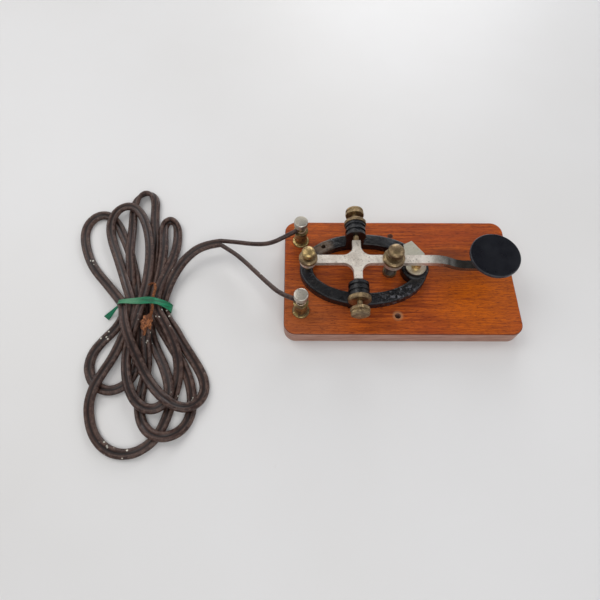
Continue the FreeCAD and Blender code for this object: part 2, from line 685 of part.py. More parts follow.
def make_pivots():
    """The two pivot screws, pointed into the lever's arms, and their lock nuts."""
    apex = ARM_HALF - PIVOT_CONE * CONE_SLOPE + PIVOT_CLEAR
    head_low = PIVOT_END - PIVOT_HEAD_LENGTH
    groove = head_low + PIVOT_HEAD_LENGTH * 0.45
    nut_low = LUG_INNER + LUG_THICK + REST_GAP
    blunt = PIVOT_CONE * 0.25
    for name, side in SIDES.items():
        outline = [(0, apex + blunt * CONE_SLOPE), (blunt, apex + blunt * CONE_SLOPE),
                   (PIVOT_SCREW, apex + PIVOT_SCREW * CONE_SLOPE), (PIVOT_SCREW, head_low),
                   (PIVOT_HEAD - EASE, head_low), (PIVOT_HEAD, head_low + EASE),
                   (PIVOT_HEAD, groove), (PIVOT_HEAD - 0.8, groove + 0.3),
                   (PIVOT_HEAD - 0.8, groove + 0.8), (PIVOT_HEAD - 0.2, groove + 1.1),
                   (PIVOT_HEAD - 0.2, PIVOT_END), (0, PIVOT_END)]
        screw = turned("pivot_screw_" + name, outline, PIVOT_HEAD_LENGTH / 8)
        outline = [(PIVOT_SCREW + RUN_FIT, nut_low), (PIVOT_NUT, nut_low),
                   (PIVOT_NUT, nut_low + PIVOT_NUT_THICK * 0.75),
                   (PIVOT_NUT - 0.7, nut_low + PIVOT_NUT_THICK),
                   (PIVOT_SCREW + RUN_FIT, nut_low + PIVOT_NUT_THICK)]
        nut = turned("pivot_locknut_" + name, outline)
        for piece, label in ((screw, "pivot_screw_" + name), (nut, "pivot_locknut_" + name)):
            place(piece, PIVOT_POS, KEY_LINE, PIVOT_Z, V(1, 0, 0), -90 * side)
            node(piece, label)


# ---------------------------------------------------------------- contact and terminals
def make_contact():
    """Lower contact, strap, shouldered insulator and the nut under the board."""
    outline = [(-STRAP_HALF, 0), (STRAP_HALF, 0), (STRAP_HALF, STRAP_LENGTH - STRAP_CUT - 1),
               (-STRAP_HALF / 7, STRAP_LENGTH + 1), (-STRAP_HALF, STRAP_LENGTH - 2)]
    plate = place(padded("strap_plate", outline, STRAP_THICK), CONTACT_POS, KEY_LINE, STRAP_UNDER)
    strap = fuse(plate, cylinder(STRAP_HALF, STRAP_THICK, CONTACT_POS, KEY_LINE, STRAP_UNDER))
    hole = cylinder(CONTACT_SCREW + RUN_FIT, STRAP_THICK, CONTACT_POS, KEY_LINE, STRAP_UNDER)
    node(cut(strap, hole), "contact_strap")
    bore = CONTACT_SCREW + RUN_FIT
    outline = [(bore, NUT_POCKET_DEPTH), (SLEEVE_RADIUS, NUT_POCKET_DEPTH),
               (SLEEVE_RADIUS, BOSS_TOP), (INSULATOR_RADIUS, BOSS_TOP),
               (INSULATOR_RADIUS, STRAP_UNDER), (bore, STRAP_UNDER)]
    node(place(turned("contact_insulator", outline), CONTACT_POS, KEY_LINE), "contact_insulator")
    tip = STRAP_TOP + CONTACT_RISE
    shoulder = STRAP_TOP + CONTACT_HEAD_THICK
    outline = [(0, STUD_END), (CONTACT_SCREW, STUD_END), (CONTACT_SCREW, STRAP_TOP),
               (CONTACT_HEAD, STRAP_TOP), (CONTACT_HEAD, shoulder),
               (CONTACT_TIP, shoulder + 0.5), (CONTACT_TIP, tip), (0, tip)]
    node(place(turned("lower_contact", outline), CONTACT_POS, KEY_LINE), "lower_contact")


def hex_nut(place_x, place_y, bore, top):
    """A hexagon nut whose upper face is at the given height."""
    body = prism(NUT_ACROSS / 2, NUT_THICK, place_x, place_y, top - NUT_THICK)
    hole = cylinder(bore + RUN_FIT, NUT_THICK, place_x, place_y, top - NUT_THICK)
    return cut(body, hole)


def make_posts():
    """The binding posts with their screw caps, and the nuts below the board."""
    neck_top = CAP_UNDER + COLLAR_TALL + CAP_TALL / 2
    cap_low = CAP_UNDER + COLLAR_TALL
    top = cap_low + CAP_TALL
    bore = POST_NECK + RUN_FIT
    for name, side in SIDES.items():
        flange = BOARD_THICK + POST_FLANGE_THICK
        outline = [(0, STUD_END), (STUD_RADIUS, STUD_END), (STUD_RADIUS, BOARD_THICK),
                   (POST_FLANGE, BOARD_THICK), (POST_FLANGE, flange - 0.5),
                   (POST_FLANGE - 0.5, flange), (POST_BODY, flange),
                   (POST_BODY, SHELF - 1.8), (POST_RIM, SHELF - 1.3), (POST_RIM, SHELF),
                   (POST_NECK, SHELF), (POST_NECK, neck_top), (0, neck_top)]
        label = "binding_post_" + name
        node(place(turned(label, outline), POST_POS, POST_HALF * side), label)
        outline = [(bore, CAP_UNDER), (COLLAR_RADIUS, CAP_UNDER), (COLLAR_RADIUS, cap_low),
                   (CAP_RADIUS, cap_low), (CAP_RADIUS, top), (0, top),
                   (0, neck_top + FREE_GAP), (bore, neck_top + FREE_GAP)]
        label = "post_cap_" + name
        node(place(turned(label, outline, CAP_TALL / 7), POST_POS, POST_HALF * side), label)
    nut_top = NUT_POCKET_DEPTH - LUG_PLATE
    nuts = [hex_nut(POST_POS, POST_HALF * side, STUD_RADIUS, nut_top)
            for side in SIDES.values()]
    node(fuse(*nuts), "post_nuts")
    node(hex_nut(CONTACT_POS, KEY_LINE, CONTACT_SCREW, nut_top), "contact_nut")


def make_frame_screws():
    """The screws that hold the ring from below, and the washers of the front pair."""
    head_top = NUT_POCKET_DEPTH - LUG_PLATE
    screws = []
    for spot_x, spot_y in FRAME_SCREWS:
        head = cylinder(FRAME_SCREW_HEAD, FRAME_SCREW_HEAD_THICK, spot_x, spot_y,
                        head_top - FRAME_SCREW_HEAD_THICK)
        shank = cylinder(FRAME_SCREW, BOARD_THICK + FRAME_SCREW_GRIP - 0.5 - head_top,
                         spot_x, spot_y, head_top)
        screws.append(fuse(head, shank))
    node(fuse(*screws), "frame_screws")
    washers = []
    for spot_x, spot_y in FRAME_SCREWS[1:]:
        disc = cylinder(LUG_RING, LUG_PLATE, spot_x, spot_y, head_top)
        hole = cylinder(FRAME_SCREW + RUN_FIT, LUG_PLATE, spot_x, spot_y, head_top)
        washers.append(cut(disc, hole))
    node(fuse(*washers), "frame_washers")


def solder_lug(place_x, place_y, bore, turn):
    """A ring lug with a tab; its own wire leaves along the tab."""
    low = NUT_POCKET_DEPTH - LUG_PLATE
    disc = cylinder(LUG_RING, LUG_PLATE, place_x, place_y, low)
    tab = doc.addObject("Part::Box", fresh("Tab"))
    bind(tab, Length=TAB_REACH, Width=TAB_WIDTH, Height=LUG_PLATE)
    place(tab, place_x + TAB_WIDTH / 2 * math.sin(turn), place_y - TAB_WIDTH / 2 * math.cos(turn),
          low, UP, math.degrees(turn))
    hole = cylinder(bore + RUN_FIT, LUG_PLATE, place_x, place_y, low)
    return cut(fuse(disc, tab), hole)


def make_hookup():
    """The two wires in the grooves under the board, each with a lug at both ends."""
    wire_z = NUT_POCKET_DEPTH - LUG_PLATE - HOOKUP_RADIUS + 0.1
    reach = number(WIRE_START)
    start = V(number(POST_POS) + reach, -number(NEAR_GROOVE), number(wire_z))
    bend = V(number(CONTACT_POS), -number(NEAR_GROOVE), number(wire_z))
    end = V(number(CONTACT_POS), number(KEY_LINE) - reach, number(wire_z))
    near = doc.addObject("Part::Feature", fresh("Wire"))
    near.Shape = tube_solid([start, bend, end], number(HOOKUP_RADIUS), number(HOOKUP_RADIUS) * 4)
    near_turn = math.atan2(number(GROOVE_INSET), reach)
    node(fuse(near, solder_lug(POST_POS, -POST_HALF, STUD_RADIUS, near_turn),
              solder_lug(CONTACT_POS, KEY_LINE, CONTACT_SCREW, -math.pi / 2)), "hookup_wire_near")
    far = cylinder(HOOKUP_RADIUS, POST_HALF - KEY_LINE - WIRE_START * 2, FAR_GROOVE,
                   KEY_LINE + WIRE_START, wire_z, V(1, 0, 0), -90)
    rear_x, rear_y = FRAME_SCREWS[0]
    far_turn = math.atan2(-reach, number(GROOVE_SHIFT))
    rear_turn = math.atan2(reach, number(FAR_GROOVE) - number(rear_x))
    node(fuse(far, solder_lug(POST_POS, POST_HALF, STUD_RADIUS, far_turn),
              solder_lug(rear_x, rear_y, FRAME_SCREW, rear_turn)), "hookup_wire_far")


# ---------------------------------------------------------------- cord
PAIR_ROUTE = [
    V(-156.0, -13.0, 4.6), V(-153.6, -3.5, 5.3), V(-149.8, 6.5, 6.2), V(-143.2, 16.4, 8.0),
    V(-132.5, 23.9, 10.6), V(-120.4, 24.7, 12.2),
]
FAR_LEAD_ROUTE = [
    V(-120.3, 26.3, 12.2), V(-109.5, 24.0, 14.4), V(-97.5, 20.0, 17.8), V(-86.0, 17.6, 22.0),
    V(-76.0, 20.4, 26.0), V(-68.0, 25.0, 26.7),
]
NEAR_LEAD_ROUTE = [
    V(-120.3, 23.1, 12.2), V(-111.5, 16.6, 13.8), V(-102.5, 7.6, 15.8), V(-93.8, -2.8, 18.6),
    V(-85.4, -13.2, 22.4), V(-77.4, -22.2, 26.0), V(-68.2, -26.0, 26.7),
]
STRAND_ROUTE = [
    V(-163.4, -44.0, 12.2), V(-162.2, -34.5, 12.2), V(-160.4, -25.5, 12.2),
    V(-161.6, -15.5, 12.2), V(-160.6, -6.0, 12.2),
]
HANK_OUTLINE = [
    V(-150.0, -29.0, 0), V(-150.0, -11.0, 0), V(-147.0, 14.0, 0), V(-148.5, 38.0, 0),
    V(-161.0, 56.0, 0), V(-172.0, 77.0, 0), V(-188.0, 78.5, 0), V(-197.0, 65.0, 0),
    V(-215.0, 60.0, 0), V(-225.0, 44.0, 0), V(-221.0, 20.0, 0), V(-202.0, -1.0, 0),
    V(-186.0, -11.0, 0), V(-186.0, -29.0, 0), V(-202.0, -42.0, 0), V(-202.0, -68.0, 0),
    V(-197.0, -92.0, 0), V(-190.0, -113.0, 0), V(-168.0, -120.0, 0), V(-148.0, -113.0, 0),
    V(-129.0, -104.0, 0), V(-119.0, -82.0, 0), V(-127.0, -59.0, 0),
]


def corner_arc(before, spot, after, radius=None):
    """The arc that rounds one corner of a route: its two ends, middle point and radius."""
    back = before - spot
    ahead = after - spot
    shorter = min(back.Length, ahead.Length)
    back.normalize()
    ahead.normalize()
    turn = math.pi - back.getAngle(ahead)
    reach = 0.45 * shorter
    if radius is None:
        radius = reach / math.tan(turn / 2)
    reach = radius * math.tan(turn / 2)
    bisector = (back + ahead).normalize()
    middle = spot + bisector * (radius / math.cos(turn / 2) - radius)
    return spot + back * reach, middle, spot + ahead * reach, radius


def route_wire(route, radius=None, closed=False, name=None):
    """Straight runs joined by tangent arcs; prints the arcs' radii if it has a name."""
    count = len(route)
    inner = range(count) if closed else range(1, count - 1)
    arcs = [corner_arc(route[i - 1], route[i], route[(i + 1) % count], radius) for i in inner]
    edges = []
    here = arcs[-1][2] if closed else route[0]
    for first, middle, last, _ in arcs:
        edges.append(Part.LineSegment(here, first).toShape())
        edges.append(Part.Arc(first, middle, last).toShape())
        here = last
    if not closed:
        edges.append(Part.LineSegment(here, route[-1]).toShape())
    if name:
        print(name, "arc radii", [round(arc[3], 1) for arc in arcs])
    return Part.Wire(edges)


def tube_solid(route, radius, bend=None, name=None):
    """A round tube along a route, its volume compared with section times length."""
    path = route_wire(route, bend, False, name)
    ahead = (route[1] - route[0]).normalize()
    ring = Part.Wire([Part.makeCircle(radius, route[0], ahead)])
    solid = path.makePipeShell([ring], True, False)
    expected = math.pi * radius * radius * path.Length
    if abs(solid.Volume - expected) > 0.02 * expected:
        raise ValueError("a tube's volume is off: %s" % name)
    if name:
        print(name, "length", round(path.Length, 1))
    return solid


def make_cord():
    """The cord's pair, its two leads, the hank, the tie and the bare ends."""
    for label, route, radius in (("pair_cord", PAIR_ROUTE, PAIR_RADIUS),
                                 ("lead_far", FAR_LEAD_ROUTE, LEAD_RADIUS),
                                 ("lead_near", NEAR_LEAD_ROUTE, LEAD_RADIUS),
                                 ("bare_ends", STRAND_ROUTE, STRAND_RADIUS)):
        shaped(label, tube_solid(route, number(radius), None, label))
    outline = route_wire(HANK_OUTLINE, None, True)
    hank = Part.Face(outline).extrude(UP * number(HANK_HEIGHT))
    hank.translate(UP * number(HANK_BOTTOM))
    top = number(HANK_BOTTOM) + number(HANK_HEIGHT)
    rims = [edge for edge in hank.Edges if at_height(top)(edge)]
    shaped("cord_hank", hank.makeFillet(number(HANK_EDGE), rims))
    waist = (HANK_OUTLINE[0].x, HANK_OUTLINE[12].x)
    gap = number(FREE_GAP)
    thick = number(TIE_THICK)
    inside_top = STRAND_ROUTE[0].z + number(STRAND_RADIUS) + gap
    inside_low = number(HANK_BOTTOM) - 0.05
    width = number(TIE_WIDTH)
    inner = Part.makeBox(waist[0] - waist[1] + 2 * gap, width, inside_top - inside_low,
                         V(waist[1] - gap, TIE_MIDDLE.y - width / 2, inside_low))
    outer = Part.makeBox(waist[0] - waist[1] + 2 * (gap + thick), width,
                         inside_top - inside_low + 2 * thick,
                         V(waist[1] - gap - thick, TIE_MIDDLE.y - width / 2, inside_low - thick))
    shaped("cord_tie", outer.cut(inner))


def write_parts():
    """Checks every object and every piece, then writes one file for each piece."""
    doc.recompute()
    for thing in doc.Objects:
        if "Invalid" in thing.State or "Error" in thing.State:
            raise ValueError("failed object: %s (%s)" % (thing.Name, thing.Label))
    os.makedirs("parts", exist_ok=True)
    for thing in nodes:
        shape = thing.Shape
        if shape.isNull() or not shape.isValid() or not shape.Solids:
            raise ValueError("bad shape: " + thing.Label)
    for thing in nodes:
        thing.Shape.exportStep("parts/%s.step" % thing.Label)
    print(len(nodes), "nodes")


make_board()
make_frame()
make_lever()
make_knob()
make_upper_contact()
make_adjusters()
make_spring()
make_pivots()
make_contact()
make_posts()
make_frame_screws()
make_hookup()
make_cord()
write_parts()
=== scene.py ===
"""A morse key on its wooden board, with its cord folded in a tied hank."""

import math

import bmesh
import bpy
import numpy as np
from mathutils import Matrix, Vector, noise


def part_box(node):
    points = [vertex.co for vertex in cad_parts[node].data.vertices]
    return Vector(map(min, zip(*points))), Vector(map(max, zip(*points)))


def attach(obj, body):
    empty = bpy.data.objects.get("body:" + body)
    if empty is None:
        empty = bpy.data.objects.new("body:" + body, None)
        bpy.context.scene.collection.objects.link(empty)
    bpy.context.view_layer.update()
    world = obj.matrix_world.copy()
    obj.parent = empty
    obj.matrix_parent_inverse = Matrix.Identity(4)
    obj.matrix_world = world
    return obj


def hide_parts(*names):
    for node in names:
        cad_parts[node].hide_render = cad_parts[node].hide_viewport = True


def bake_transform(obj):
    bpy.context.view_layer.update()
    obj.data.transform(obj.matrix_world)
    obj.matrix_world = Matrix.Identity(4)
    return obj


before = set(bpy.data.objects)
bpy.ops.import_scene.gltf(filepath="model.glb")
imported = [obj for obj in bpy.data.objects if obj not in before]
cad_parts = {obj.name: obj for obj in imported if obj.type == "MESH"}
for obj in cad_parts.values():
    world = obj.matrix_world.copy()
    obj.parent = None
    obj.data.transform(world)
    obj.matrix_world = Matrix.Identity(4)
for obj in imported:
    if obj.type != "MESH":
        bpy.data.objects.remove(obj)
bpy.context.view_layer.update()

MM = 0.001
WELD = 1e-7                             # points nearer than this are one
ON_AXIS = 1e-9                          # a smaller radius is on a turned piece's axis
KEY_LINE = 2.2 * MM                     # the lever's middle line
SIDES = {"near": -1, "far": 1}
UP = Vector((0, 0, 1))
ALONG = Vector((0, 1, 0))


def middle(node):
    """The centre of a CAD node's box."""
    low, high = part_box(node)
    return (low + high) / 2


BOARD_LOW, BOARD_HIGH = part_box("base_board")
BOARD_TOP = BOARD_HIGH.z
# Places on the board and on the ring that are marked in the photo.
WORN_HOLE = (-3.0 * MM, -29.9 * MM, BOARD_TOP)   # the near screw hole of the board
AMBER_PATCH = (0.052, -0.018, BOARD_TOP)
DUSTY_CORNER = (-0.066, -0.034, BOARD_TOP)
DARK_STAIN = (0.034, 0.009, BOARD_TOP)
BARE_ENAMEL = (-0.0505, 0.0185, 0.0175)          # round the ring's open screw hole
SCARRED_ENAMEL = (-0.0010, -0.0180, 0.0175)
KNOB_LOW, KNOB_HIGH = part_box("knob")
KNOB_RADIUS = (KNOB_HIGH.y - KNOB_LOW.y) / 2
KNOB_TOP = ((KNOB_LOW.x + KNOB_HIGH.x) / 2, (KNOB_LOW.y + KNOB_HIGH.y) / 2, KNOB_HIGH.z)


# ---------------------------------------------------------------- camera and lights
def make_camera():
    """A hand-held view from the front, steeply down."""
    place = (-0.06689, -0.15924, 0.29308)
    yaw, pitch, roll = 0.0082, math.radians(63.485), 0.0103
    forward = Vector((math.sin(yaw) * math.cos(pitch), math.cos(yaw) * math.cos(pitch),
                      -math.sin(pitch)))
    right = Vector((math.cos(yaw), -math.sin(yaw), 0))
    upward = right.cross(forward)
    turned_right = right * math.cos(roll) + upward * math.sin(roll)
    turned_up = upward * math.cos(roll) - right * math.sin(roll)
    data = bpy.data.cameras.new("camera")
    data.lens = 29.03
    data.sensor_width = 36
    data.clip_start = 0.01
    camera = bpy.data.objects.new("camera", data)
    turn = Matrix((turned_right, turned_up, -forward)).transposed()
    camera.matrix_world = Matrix.Translation(place) @ turn.to_4x4()
    bpy.context.scene.collection.objects.link(camera)
    bpy.context.scene.camera = camera


def area_light(name, place, target, size, watts, tint):
    """A soft square light, facing target."""
    data = bpy.data.lights.new(name, "AREA")
    data.size = size
    data.energy = watts
    data.color = tint
    light = bpy.data.objects.new(name, data)
    facing = (Vector(target) - Vector(place)).to_track_quat("-Z", "Y")
    light.matrix_world = Matrix.Translation(place) @ facing.to_matrix().to_4x4()
    bpy.context.scene.collection.objects.link(light)


def make_lights():
    """Broad lights on every side of the object, in a room with pale walls and a dark
    ceiling."""
    world = bpy.data.worlds.new("room")
    world.use_nodes = True
    nodes, links = world.node_tree.nodes, world.node_tree.links
    split = nodes.new("ShaderNodeSeparateXYZ")
    links.new(nodes.new("ShaderNodeTexCoord").outputs["Generated"], split.inputs[0])
    height = nodes.new("ShaderNodeMapRange")
    for socket, value in (("From Min", 0.1), ("From Max", 0.8), ("To Min", 0.70),
                          ("To Max", 0.11)):
        height.inputs[socket].default_value = value
    links.new(split.outputs["Z"], height.inputs["Value"])
    links.new(height.outputs["Result"], nodes["Background"].inputs["Strength"])
    nodes["Background"].inputs["Color"].default_value = (0.94, 0.96, 1.0, 1)
    bpy.context.scene.world = world
    area_light("window", (-0.62, 0.34, 0.78), (-0.05, 0, 0), 0.75, 4.0, (1.0, 0.985, 0.965))
    area_light("low_window", (0.16, 1.05, 0.42), (-0.02, 0, 0), 0.60, 5.0, (0.98, 0.985, 1.0))
    area_light("front_fill", (0.02, -0.62, 0.90), (0, 0, 0), 0.80, 4.6, (1.0, 0.99, 0.98))
    area_light("side_fill", (0.72, 0.10, 0.70), (0, 0, 0), 0.50, 1.6, (0.97, 0.98, 1.0))


# ---------------------------------------------------------------- shapes
def link(obj):
    """Puts a new object in the scene."""
    bpy.context.scene.collection.objects.link(obj)
    return obj


def mesh_piece(name, points, faces, sharp=35, crown=None):
    """A mesh object, smooth except along edges sharper than the given angle. The crown is a
    value at each point that a material can read."""
    mesh = bpy.data.meshes.new(name)
    mesh.from_pydata(points, [], faces)
    if crown:
        mesh.attributes.new("crown", "FLOAT", "POINT").data.foreach_set("value", crown)
    grown = bmesh.new()
    grown.from_mesh(mesh)
    bmesh.ops.remove_doubles(grown, verts=grown.verts, dist=WELD)
    bmesh.ops.recalc_face_normals(grown, faces=grown.faces)
    for face in grown.faces:
        face.smooth = True
    for edge in grown.edges:
        if len(edge.link_faces) == 2 and edge.calc_face_angle() > math.radians(sharp):
            edge.smooth = False
    grown.to_mesh(mesh)
    grown.free()
    return link(bpy.data.objects.new(name, mesh))


def put(piece, body, material, nodes=()):
    """Gives a new piece its body, slot, material and the nodes that it stands for."""
    piece.data.materials.clear()
    piece.data.materials.append(material)
    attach(piece, body)
    if nodes:
        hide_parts(*nodes)
    return piece


def spline_points(route, closed=False, smoothness=8):
    """The points along a smooth NURBS line through a route given in millimetres."""
    data = bpy.data.curves.new("route", "CURVE")
    data.dimensions = "3D"
    spline = data.splines.new("NURBS")
    spline.points.add(len(route) - 1)
    for point, spot in zip(spline.points, route):
        point.co = (spot[0] * MM, spot[1] * MM, spot[2] * MM, 1)
    spline.order_u = 3
    spline.use_endpoint_u = not closed
    spline.use_cyclic_u = closed
    spline.resolution_u = smoothness
    curve = link(bpy.data.objects.new("route", data))
    bpy.context.view_layer.update()
    mesh = bpy.data.meshes.new_from_object(curve)
    points = [vertex.co.copy() for vertex in mesh.vertices]
    bpy.data.meshes.remove(mesh)
    bpy.data.objects.remove(curve)
    return points


def ring_profile(radius, count):
    """A round wire's section, as (across, upwards) pairs."""
    return [(radius * math.cos(math.tau * i / count), radius * math.sin(math.tau * i / count))
            for i in range(count)]


def sweep(name, points, profile, upward=UP, tilts=None, widths=None, closed=False, crown=None):
    """A solid of one section along points. Each point's tilt turns the section, its width
    stretches it, and the crown has a value for each point of the section."""
    count = len(points)
    rows = []
    for i, spot in enumerate(points):
        before = points[i - 1] if closed or i else spot
        after = points[(i + 1) % count] if closed or i < count - 1 else spot
        heading = (after - before).normalized()
        across = heading.cross(upward).normalized()
        over = across.cross(heading)
        tilt = tilts[i] if tilts else 0.0
        side = across * math.cos(tilt) + over * math.sin(tilt)
        top = over * math.cos(tilt) - across * math.sin(tilt)
        wide = widths[i] if widths else 1.0
        rows.append([spot + side * (u * wide) + top * v for u, v in profile])
    size = len(profile)
    faces = []
    for i in range(count if closed else count - 1):
        for j in range(size):
            this, other = i * size, ((i + 1) % count) * size
            faces.append((this + j, this + (j + 1) % size, other + (j + 1) % size, other + j))
    if not closed:
        faces.append(tuple(range(size)))
        faces.append(tuple(range((count - 1) * size, count * size)))
    return mesh_piece(name, [spot for row in rows for spot in row], faces, 60,
                      crown * count if crown else None)


def triangle(value):
    """A wave of triangles from 0 to 1, with a period of 1."""
    return 1 - np.abs(2 * (value - np.floor(value)) - 1)


def eased(outline, size):
    """An outline of (radius, height) pairs with its corners eased by size."""
    soft = [outline[0]]
    for before, here, after in zip(outline, outline[1:], outline[2:]):
        corner = Vector(here)
        back, on = Vector(before) - corner, Vector(after) - corner
        reach = min(size, back.length * 0.45, on.length * 0.45)
        start = corner + back.normalized() * reach
        end = corner + on.normalized() * reach
        soft += [tuple(start), tuple((start + end + corner * 2) / 4), tuple(end)]
    return soft + [outline[-1]]


def lathe(name, origin, axis, outline, bands=(), ease=0.22 * MM, sectors=144, closed=False):
    """A turned piece. Each band is (low, high, relief), and its relief gives the depth cut
    into the surface at every angle, between those two heights."""
    step, fade_over = 0.11 * MM, 0.25 * MM
    axis = Vector(axis)
    across = axis.orthogonal().normalized()
    other = axis.cross(across)
    soft = eased(outline, ease)
    if closed:
        soft.append(soft[0])
    rows = [soft[0]]
    for (r0, h0), (r1, h1) in zip(soft, soft[1:]):
        parts = 1
        for low, high, _ in bands:
            if max(h0, h1) > low and min(h0, h1) < high:
                parts = max(parts, math.ceil(abs(h1 - h0) / step))
        rows += [(r0 + (r1 - r0) * k / parts, h0 + (h1 - h0) * k / parts)
                 for k in range(1, parts + 1)]
    angles = np.arange(sectors) * (math.tau / sectors)
    points, faces, starts = [], [], []
    widest = max(r for r, _ in rows)
    for r, h in rows:
        starts.append(len(points))
        if r < ON_AXIS:
            points.append(Vector(origin) + axis * h)
            continue
        radii = np.full(sectors, r)
        for low, high, relief in bands:
            if low < h < high:
                fade = min(1.0, (h - low) / fade_over, (high - h) / fade_over)
                radii = radii - relief(angles, h, r, widest) * fade
        for angle, radius in zip(angles, radii):
            turn = across * math.cos(angle) + other * math.sin(angle)
            points.append(Vector(origin) + turn * float(radius) + axis * h)
    for i in range(len(rows) - 1):
        a, b = starts[i], starts[i + 1]
        a_on_axis, b_on_axis = rows[i][0] < ON_AXIS, rows[i + 1][0] < ON_AXIS
        for j in range(sectors):
            k = (j + 1) % sectors
            if a_on_axis and b_on_axis:
                continue
            if a_on_axis:
                faces.append((a, b + k, b + j))
            elif b_on_axis:
                faces.append((a + j, a + k, b))
            else:
                faces.append((a + j, a + k, b + k, b + j))
    return mesh_piece(name, points, faces)


def knurl(teeth, depth):
    """Straight ridges across a thumb head's or a nut's rim, and none on narrower parts."""
    rim = 0.86

    def relief(angles, height, radius, widest):
        if radius < widest * rim:
            return 0.0
        return depth * triangle(angles * teeth / math.tau)
    return relief


def diamonds(teeth, lead, depth):
    """Crossed ridges, as on a binding post's body."""
    def relief(angles, height, radius, widest):
        turn = angles * teeth / math.tau
        left = triangle(turn + height / lead)
        right = triangle(turn - height / lead)
        return depth * np.maximum(left, right)
    return relief


def thread(pitch, depth):
    """A single-start screw thread."""
    def relief(angles, height, radius, widest):
        return depth * triangle(height / pitch - angles / math.tau)
    return relief


# ---------------------------------------------------------------- materials
class Paint:
    """A material whose nodes are added by short calls."""

    def __init__(self, name, **finish):
        self.material = bpy.data.materials.new(name)
        self.material.use_nodes = True
        self.nodes = self.material.node_tree.nodes
        self.links = self.material.node_tree.links
        self.shader = self.nodes["Principled BSDF"]
        self.place = self.nodes.new("ShaderNodeTexCoord").outputs["Object"]
        for key, value in finish.items():
            self.shader.inputs[key.replace("_", " ")].default_value = value

    def join(self, source, node, socket):
        """Links a source to one of a node's inputs."""
        self.links.new(source, node.inputs[socket])

    def stretched(self, scale, turn=(0, 0, 0)):
        """The place, scaled along each axis."""
        mapping = self.nodes.new("ShaderNodeMapping")
        mapping.inputs["Scale"].default_value = scale
        mapping.inputs["Rotation"].default_value = turn
        self.join(self.place, mapping, "Vector")
        return mapping.outputs["Vector"]

    def noise(self, scale, detail=4, roughness=0.55, place=None, distortion=0.0):
        """Cloudy noise, mostly between 0.3 and 0.7."""
        texture = self.nodes.new("ShaderNodeTexNoise")
        texture.inputs["Scale"].default_value = scale
        texture.inputs["Detail"].default_value = detail
        texture.inputs["Roughness"].default_value = roughness
        texture.inputs["Distortion"].default_value = distortion
        self.join(place or self.place, texture, "Vector")
        return texture.outputs["Fac"]

    def cells(self, scale):
        """Distance from the nearest of many scattered points."""
        texture = self.nodes.new("ShaderNodeTexVoronoi")
        texture.inputs["Scale"].default_value = scale
        self.join(self.place, texture, "Vector")
        return texture.outputs["Distance"]

    def painted(self, name):
        """The value that a piece's mesh holds at each point."""
        attribute = self.nodes.new("ShaderNodeAttribute")
        attribute.attribute_name = name
        return attribute.outputs["Fac"]

    def distance(self, spot):
        """How far the surface is from the spot, in metres."""
        apart = self.nodes.new("ShaderNodeVectorMath")
        apart.operation = "DISTANCE"
        apart.inputs[1].default_value = spot
        self.join(self.place, apart, 0)
        return apart.outputs["Value"]

    def near(self, spot, inside, outside):
        """1 within inside of the spot and 0 beyond outside."""
        return self.spread(self.distance(spot), inside, outside, 1, 0)

    def spread(self, source, low, high, start=0.0, end=1.0):
        """The source from low to high, drawn out smoothly to start and end."""
        remap = self.nodes.new("ShaderNodeMapRange")
        remap.interpolation_type = "SMOOTHSTEP"
        for socket, value in zip(("From Min", "From Max", "To Min", "To Max"),
                                 (low, high, start, end)):
            remap.inputs[socket].default_value = value
        self.join(source, remap, "Value")
        return remap.outputs["Result"]

    def part(self, source, axis):
        """A vector's value along one axis."""
        split = self.nodes.new("ShaderNodeSeparateXYZ")
        self.join(source, split, 0)
        return split.outputs[axis]

    def facing_up(self):
        """How far the surface faces up: 1 on a top, 0 on a side, -1 on an underside."""
        geometry = self.nodes.new("ShaderNodeNewGeometry")
        return self.part(geometry.outputs["Normal"], "Z")

    def times(self, one, other):
        """One source times the other."""
        product = self.nodes.new("ShaderNodeMath")
        product.operation = "MULTIPLY"
        self.join(one, product, 0)
        self.join(other, product, 1)
        return product.outputs["Value"]

    def blend(self, factor, one, other):
        """A colour between one and other; each is a colour or a socket."""
        mix = self.nodes.new("ShaderNodeMix")
        mix.data_type = "RGBA"
        self.join(factor, mix, 0)
        for index, colour in ((6, one), (7, other)):
            if isinstance(colour, tuple):
                mix.inputs[index].default_value = (*colour, 1)
            else:
                self.links.new(colour, mix.inputs[index])
        return mix.outputs[2]

    def colour(self, source):
        """The surface's colour."""
        self.join(source, self.shader, "Base Color")

    def rough(self, source, low, high, start=0.3, end=0.7):
        """Roughness low where the source is at start, and high where it is at end."""
        self.join(self.spread(source, start, end, low, high), self.shader, "Roughness")

    def bump(self, height, distance, strength=1.0):
        """Adds relief of the given height, in metres, on top of any relief so far."""
        relief = self.nodes.new("ShaderNodeBump")
        relief.inputs["Strength"].default_value = strength
        relief.inputs["Distance"].default_value = distance
        self.join(height, relief, "Height")
        previous = self.shader.inputs["Normal"].links
        if previous:
            self.join(previous[0].from_socket, relief, "Normal")
        self.join(relief.outputs["Normal"], self.shader, "Normal")


